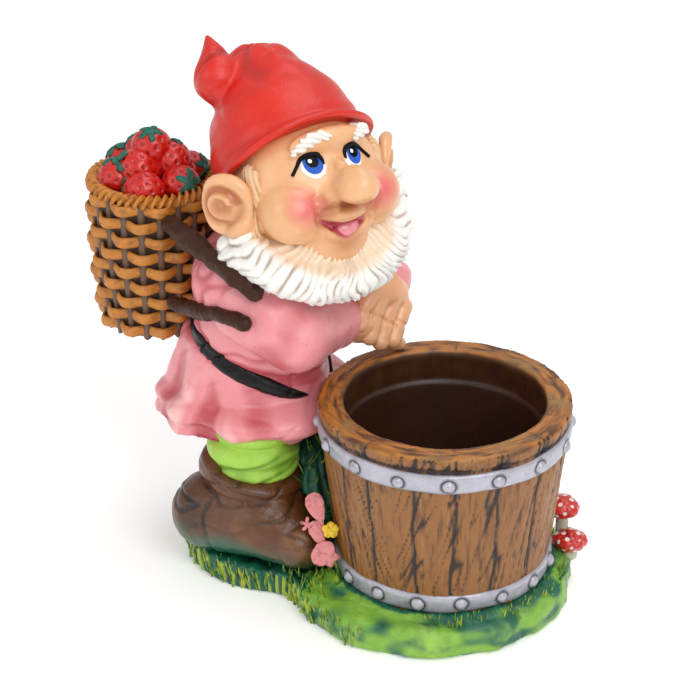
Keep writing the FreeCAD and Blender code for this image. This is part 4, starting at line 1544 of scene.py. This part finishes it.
sculpt(turf, turf_relief)
paint(turf, "blade", lambda point, normal: (
    edge_blades(point, normal) * clamp((point.y + 4) / 14)))


def lobe_paint(point, normal):
    """The brighter green brushed on the broad lobes before the barrel."""
    reach = math.hypot(point.x - tub_foot.x, point.y - tub_foot.y)
    if point.y > 20 or reach < 60:
        return 0
    return clamp(0.6 + 2.2 * noise.noise(Vector((point.x, point.y, point.z * 2)) * 0.07))


paint(turf, "lobe", lobe_paint)
smooth(turf)

turf_paint = painted("turf_greens_with_painted_light", [
    (9, "#0a4a35", "#147050"),
    ("lobe", (7, "#4d9630", "#9cc640", (1, 1, 0.6))),
    # Near black green in the low places: painted shade.
    ("relief", -0.2, -1.5, "#062f24"),
    # Yellow on the blade crests and lime on the highest lumps: painted highlight.
    ("blade", 0.45, 0.8, (4, "#8fae22", "#b9bf34")),
    ("relief", 2.2, 3.6, (5, "#7fb43a", "#aed452")),
], {"Roughness": 0.38, "Coat Weight": 0.2, "Coat Roughness": 0.3}, (1.4, 0.5))
place_on_object(turf, turf_paint, "turf", "turf_base")

mound = fused("turf_mound", [cad_copy("grass_mound")], 1.3, 4)


def mound_relief(point, normal):
    if point.z < turf_high.z - 1:
        return 0
    angle = math.atan2(point.y - 40, point.x - 4)
    blades = 1.6 * (0.5 - abs(math.sin(angle * 17 + point.z * 0.05 + 3 * noise.noise(point * 0.04))))
    return blades + 1.8 * noise.noise(point * 0.07) + 0.7 * noise.noise(point * 0.3)


sculpt(mound, mound_relief)
paint(mound, "lobe", lambda point, normal: 0.0)
paint(mound, "blade", lambda point, normal: 0.35 * max(0, noise.noise(point * 0.2)))
place_on_object(smooth(mound), turf_paint, "turf", "grass_mound")

blade_model = fresh(
    bpy.ops.mesh.primitive_cone_add, vertices=5, radius1=1, radius2=0.12, depth=2, location=(0, 0, 1))
bpy.ops.object.mode_set(mode="EDIT")
bpy.ops.mesh.select_all(action="SELECT")
bpy.ops.mesh.subdivide(number_cuts=2)
bpy.ops.object.mode_set(mode="OBJECT")
settle(blade_model)
for vertex in blade_model.data.vertices:
    vertex.co.x += 0.34 * (vertex.co.z / 2) ** 2 * 2


def blade_at(place, upward, length, width, turn):
    blade = copy_of(blade_model, "blade")
    pose = Vector(upward).normalized().to_track_quat("Z", "X").to_matrix().to_4x4()
    size = Matrix.Diagonal((width * MM, width * 0.55 * MM, length / 2 * MM, 1))
    turned = pose @ Matrix.Rotation(turn, 4, "Z")
    blade.data.transform(Matrix.Translation(Vector(place) * MM) @ turned @ size)
    return blade


blades = []
for number in range(EDGE_BLADES):
    around = 2 * math.pi * number / EDGE_BLADES
    origin = Vector((
        math.cos(around) * 130, math.sin(around) * 150 + 8, turf_high.z * random.uniform(0.25, 0.95)))
    target = Vector((0, 8 if abs(origin.y) < 60 else origin.y * 0.35, origin.z))
    found, base, facing, face_index = turf.ray_cast(origin * MM, (target - origin).normalized())
    if not found or (base / MM).y < -28:
        continue
    base = base / MM
    upward = Vector((random.uniform(-0.2, 0.2), random.uniform(-0.2, 0.2), 1)) + facing * 0.25
    foot = base - facing * 0.6 - Vector((0, 0, 4))
    blades.append(blade_at(foot, upward, random.uniform(7, 12), 1.1, random.uniform(0, 6)))
for number in range(BARREL_BLADES):
    around = random.uniform(-2.9, -0.2)
    reach = tub_radius(lower_hoop_base) + random.uniform(3, 9)
    place = tub_foot + polar(around, reach, lower_hoop_base - 6)
    aside = polar(around, 1) * random.uniform(-0.1, 0.5)
    upward = Vector((0, 0, 1)) + aside
    blades.append(blade_at(place, upward, random.uniform(5, 11), 1.2, random.uniform(0, 6)))
for number in range(MOUND_BLADES):
    place = Vector((random.uniform(-62, 30), random.uniform(-4, 34), 200))
    found, base, facing, face_index = mound.ray_cast(place * MM, Vector((0, 0, -1)))
    if not found or base.z < turf_high.z * MM:
        found, base, facing, face_index = turf.ray_cast(place * MM, Vector((0, 0, -1)))
    if not found:
        continue
    upward = facing * 0.8 + Vector((random.uniform(-0.5, 0.5), random.uniform(-0.5, 0.5), 0.8))
    foot = base / MM - facing
    blades.append(blade_at(foot, upward, random.uniform(5, 11), 1.0, random.uniform(0, 6)))
grass = joined("grass_blades", blades)
bpy.data.objects.remove(blade_model)

blade_paint = painted(
    "yellow_green_acrylic_on_blades", ["#1c6b34", ((6,), 0.4, 0.62, "#a9ba2e")],
    {"Roughness": 0.4}, (0.8, 0.2))
place_on_object(smooth(grass), blade_paint, "turf", "grass_tufts")


# ---- Flowers ----------------------------------------------------------------
# Large pink petals and a yellow flower pressed into the mound, modelled thick
# and painted with a full brush, with painted shade darker in the dents.

def petal(place, facing, reach, half_width, roll):
    """One thick rounded petal lying flat against a surface that faces the given way."""
    thing = fresh(bpy.ops.mesh.primitive_ico_sphere_add, subdivisions=4, radius=1)
    for vertex in thing.data.vertices:
        across, along, up = vertex.co
        flare = 0.62 + 0.38 * along
        cup = 0.35 * (across ** 2 + max(0, along) ** 2)
        vertex.co = Vector((across * half_width * flare, along * reach, up * 1.5 + cup * 2)) * MM
    pose = Vector(facing).normalized().to_track_quat("Z", "Y").to_matrix().to_4x4()
    thing.data.transform(Matrix.Translation(Vector(place) * MM) @ pose @ Matrix.Rotation(roll, 4, "Z"))
    return thing


def flower_paint(name, low_code, high_code, dent_shade_code):
    # Darker in the dents: painted shade.
    look = [(5, low_code, high_code), ("relief", -0.05, -0.4, dent_shade_code)]
    return painted(name, look, {"Roughness": 0.36}, (0.9, 0.3))


pink_paint = flower_paint("thick_pink_acrylic_petals", "#cf6f74", "#e89a98", "#8d4048")
yellow_paint = flower_paint("thick_yellow_acrylic_petals", "#d9a90f", "#f2d22e", "#8a6a10")
petal_facing = Vector((-0.82, -0.45, 0.42))
for node, count, reach, half_width, finish, slot_name in (
    ("pink_flower_1", 1, 9.0, 7.0, pink_paint, "petal_pink"),
    ("pink_flower_2", 1, 8.0, 6.2, pink_paint, "petal_pink"),
    ("pink_flower_3", 2, 7.6, 7.6, pink_paint, "petal_pink"),
    ("yellow_flower", 5, 2.8, 2.8, yellow_paint, "petal_yellow"),
):
    corner, opposite = box_of(node)
    centre = (corner + opposite) / 2
    frame_turn = petal_facing.to_track_quat("Z", "Y").to_matrix()
    petals = []
    for number in range(count):
        roll = (0.35 if count < 3 else 2 * math.pi * number / count) + (1.1 * number if count == 2 else 0)
        aside = frame_turn @ Vector((-math.sin(roll), math.cos(roll), 0))
        aside *= reach * (0.62 if count > 2 else 0.1)
        petals.append(petal(centre + aside, petal_facing, reach, half_width, roll))
    if node == "pink_flower_2":
        for number in range(5):
            roll = 2 * math.pi * number / 5
            aside = frame_turn @ Vector((-math.sin(roll), math.cos(roll), 0)) * 1.9
            petals.append(petal(centre + Vector((-1, 6.5, 6)) + aside, petal_facing, 2.2, 1.4, roll))
    bloom = joined(f"{node}_petals", petals)
    sculpt(bloom, lambda point, normal: (
        0.35 * noise.noise(point * 0.5) - 0.15 * bump_line(noise.noise(point * 0.2), 0.1)))
    place_on_object(smooth(bloom), finish, slot_name, node)


# ---- Toadstools -------------------------------------------------------------
# Two lumpy red caps dotted with white stand beside the barrel on pale stems,
# cast with the plinth and painted by hand.

CAP_DOTS = 26
CAP_LUMPS = 6

cap_paint = painted("red_gloss_acrylic_toadstool", [
    (6, "#b0120c", "#d8281a"),
    # Dark red in the dents: painted shade.
    ("relief", -0.2, -1.0, "#5d0806"),
    ("dots", -0.1, 0.1, "#efe6dc"),
], {"Roughness": 0.28, "Coat Weight": 0.4, "Coat Roughness": 0.2}, (1.6, 0.3))
stem_paint = painted(
    "pale_green_acrylic_stem", (3, "#9fa78a", "#d5d3bb", (2, 2, 1)),
    {"Roughness": 0.5}, (1.2, 0.4, (3, 3, 1)))
for number in (1, 2):
    corner, opposite = box_of(f"toadstool_cap_{number}")
    centre = (corner + opposite) / 2
    half = (opposite - corner) / 2
    cap_parts = [ball(centre, (half.x * 1.1, half.y * 1.1, half.z))]
    for lump in range(CAP_LUMPS):
        turn = lump * 1.05 + number
        aside = Vector((
            math.cos(turn) * half.x * 0.6, math.sin(turn) * half.y * 0.6, half.z * 0.1 * math.sin(lump)))
        cap_parts.append(ball(centre + aside, (half.x * 0.62, half.y * 0.62, half.z * 0.62)))
    cap = fused(f"toadstool_cap_{number}_skin", cap_parts, 0.5, 3)
    sculpt(cap, lambda point, normal: 1.0 * noise.noise(point * 0.16) + 0.4 * noise.noise(point * 0.5))
    spread_out = Matrix.Diagonal(half)
    dots = [centre + spread_out @ spot for spot in seed_points(CAP_DOTS)]
    paint(cap, "dots", lambda point, normal: 0.8 - 0.6 * min((point - dot).length for dot in dots))
    place_on_object(smooth(cap), cap_paint, "toadstool_red", f"toadstool_cap_{number}")
    low, high = box_of(f"toadstool_stem_{number}")
    foot = Vector(((low.x + high.x) / 2, (low.y + high.y) / 2, low.z))
    top = foot + Vector((0, 0, high.z - low.z + 2))
    width = (high.x - low.x) / 2
    stem_stops = [(foot, width * 1.3), (foot.lerp(top, 0.4), width), (top, width * 0.9)]
    stem = fused(f"toadstool_stem_{number}_skin", limb(stem_stops, 1), 0.5, 3)
    sculpt(stem, lambda point, normal: 0.35 * noise.noise(Vector((point.x, point.y, point.z * 0.2))))
    place_on_object(smooth(stem), stem_paint, "toadstool_stem", f"toadstool_stem_{number}")
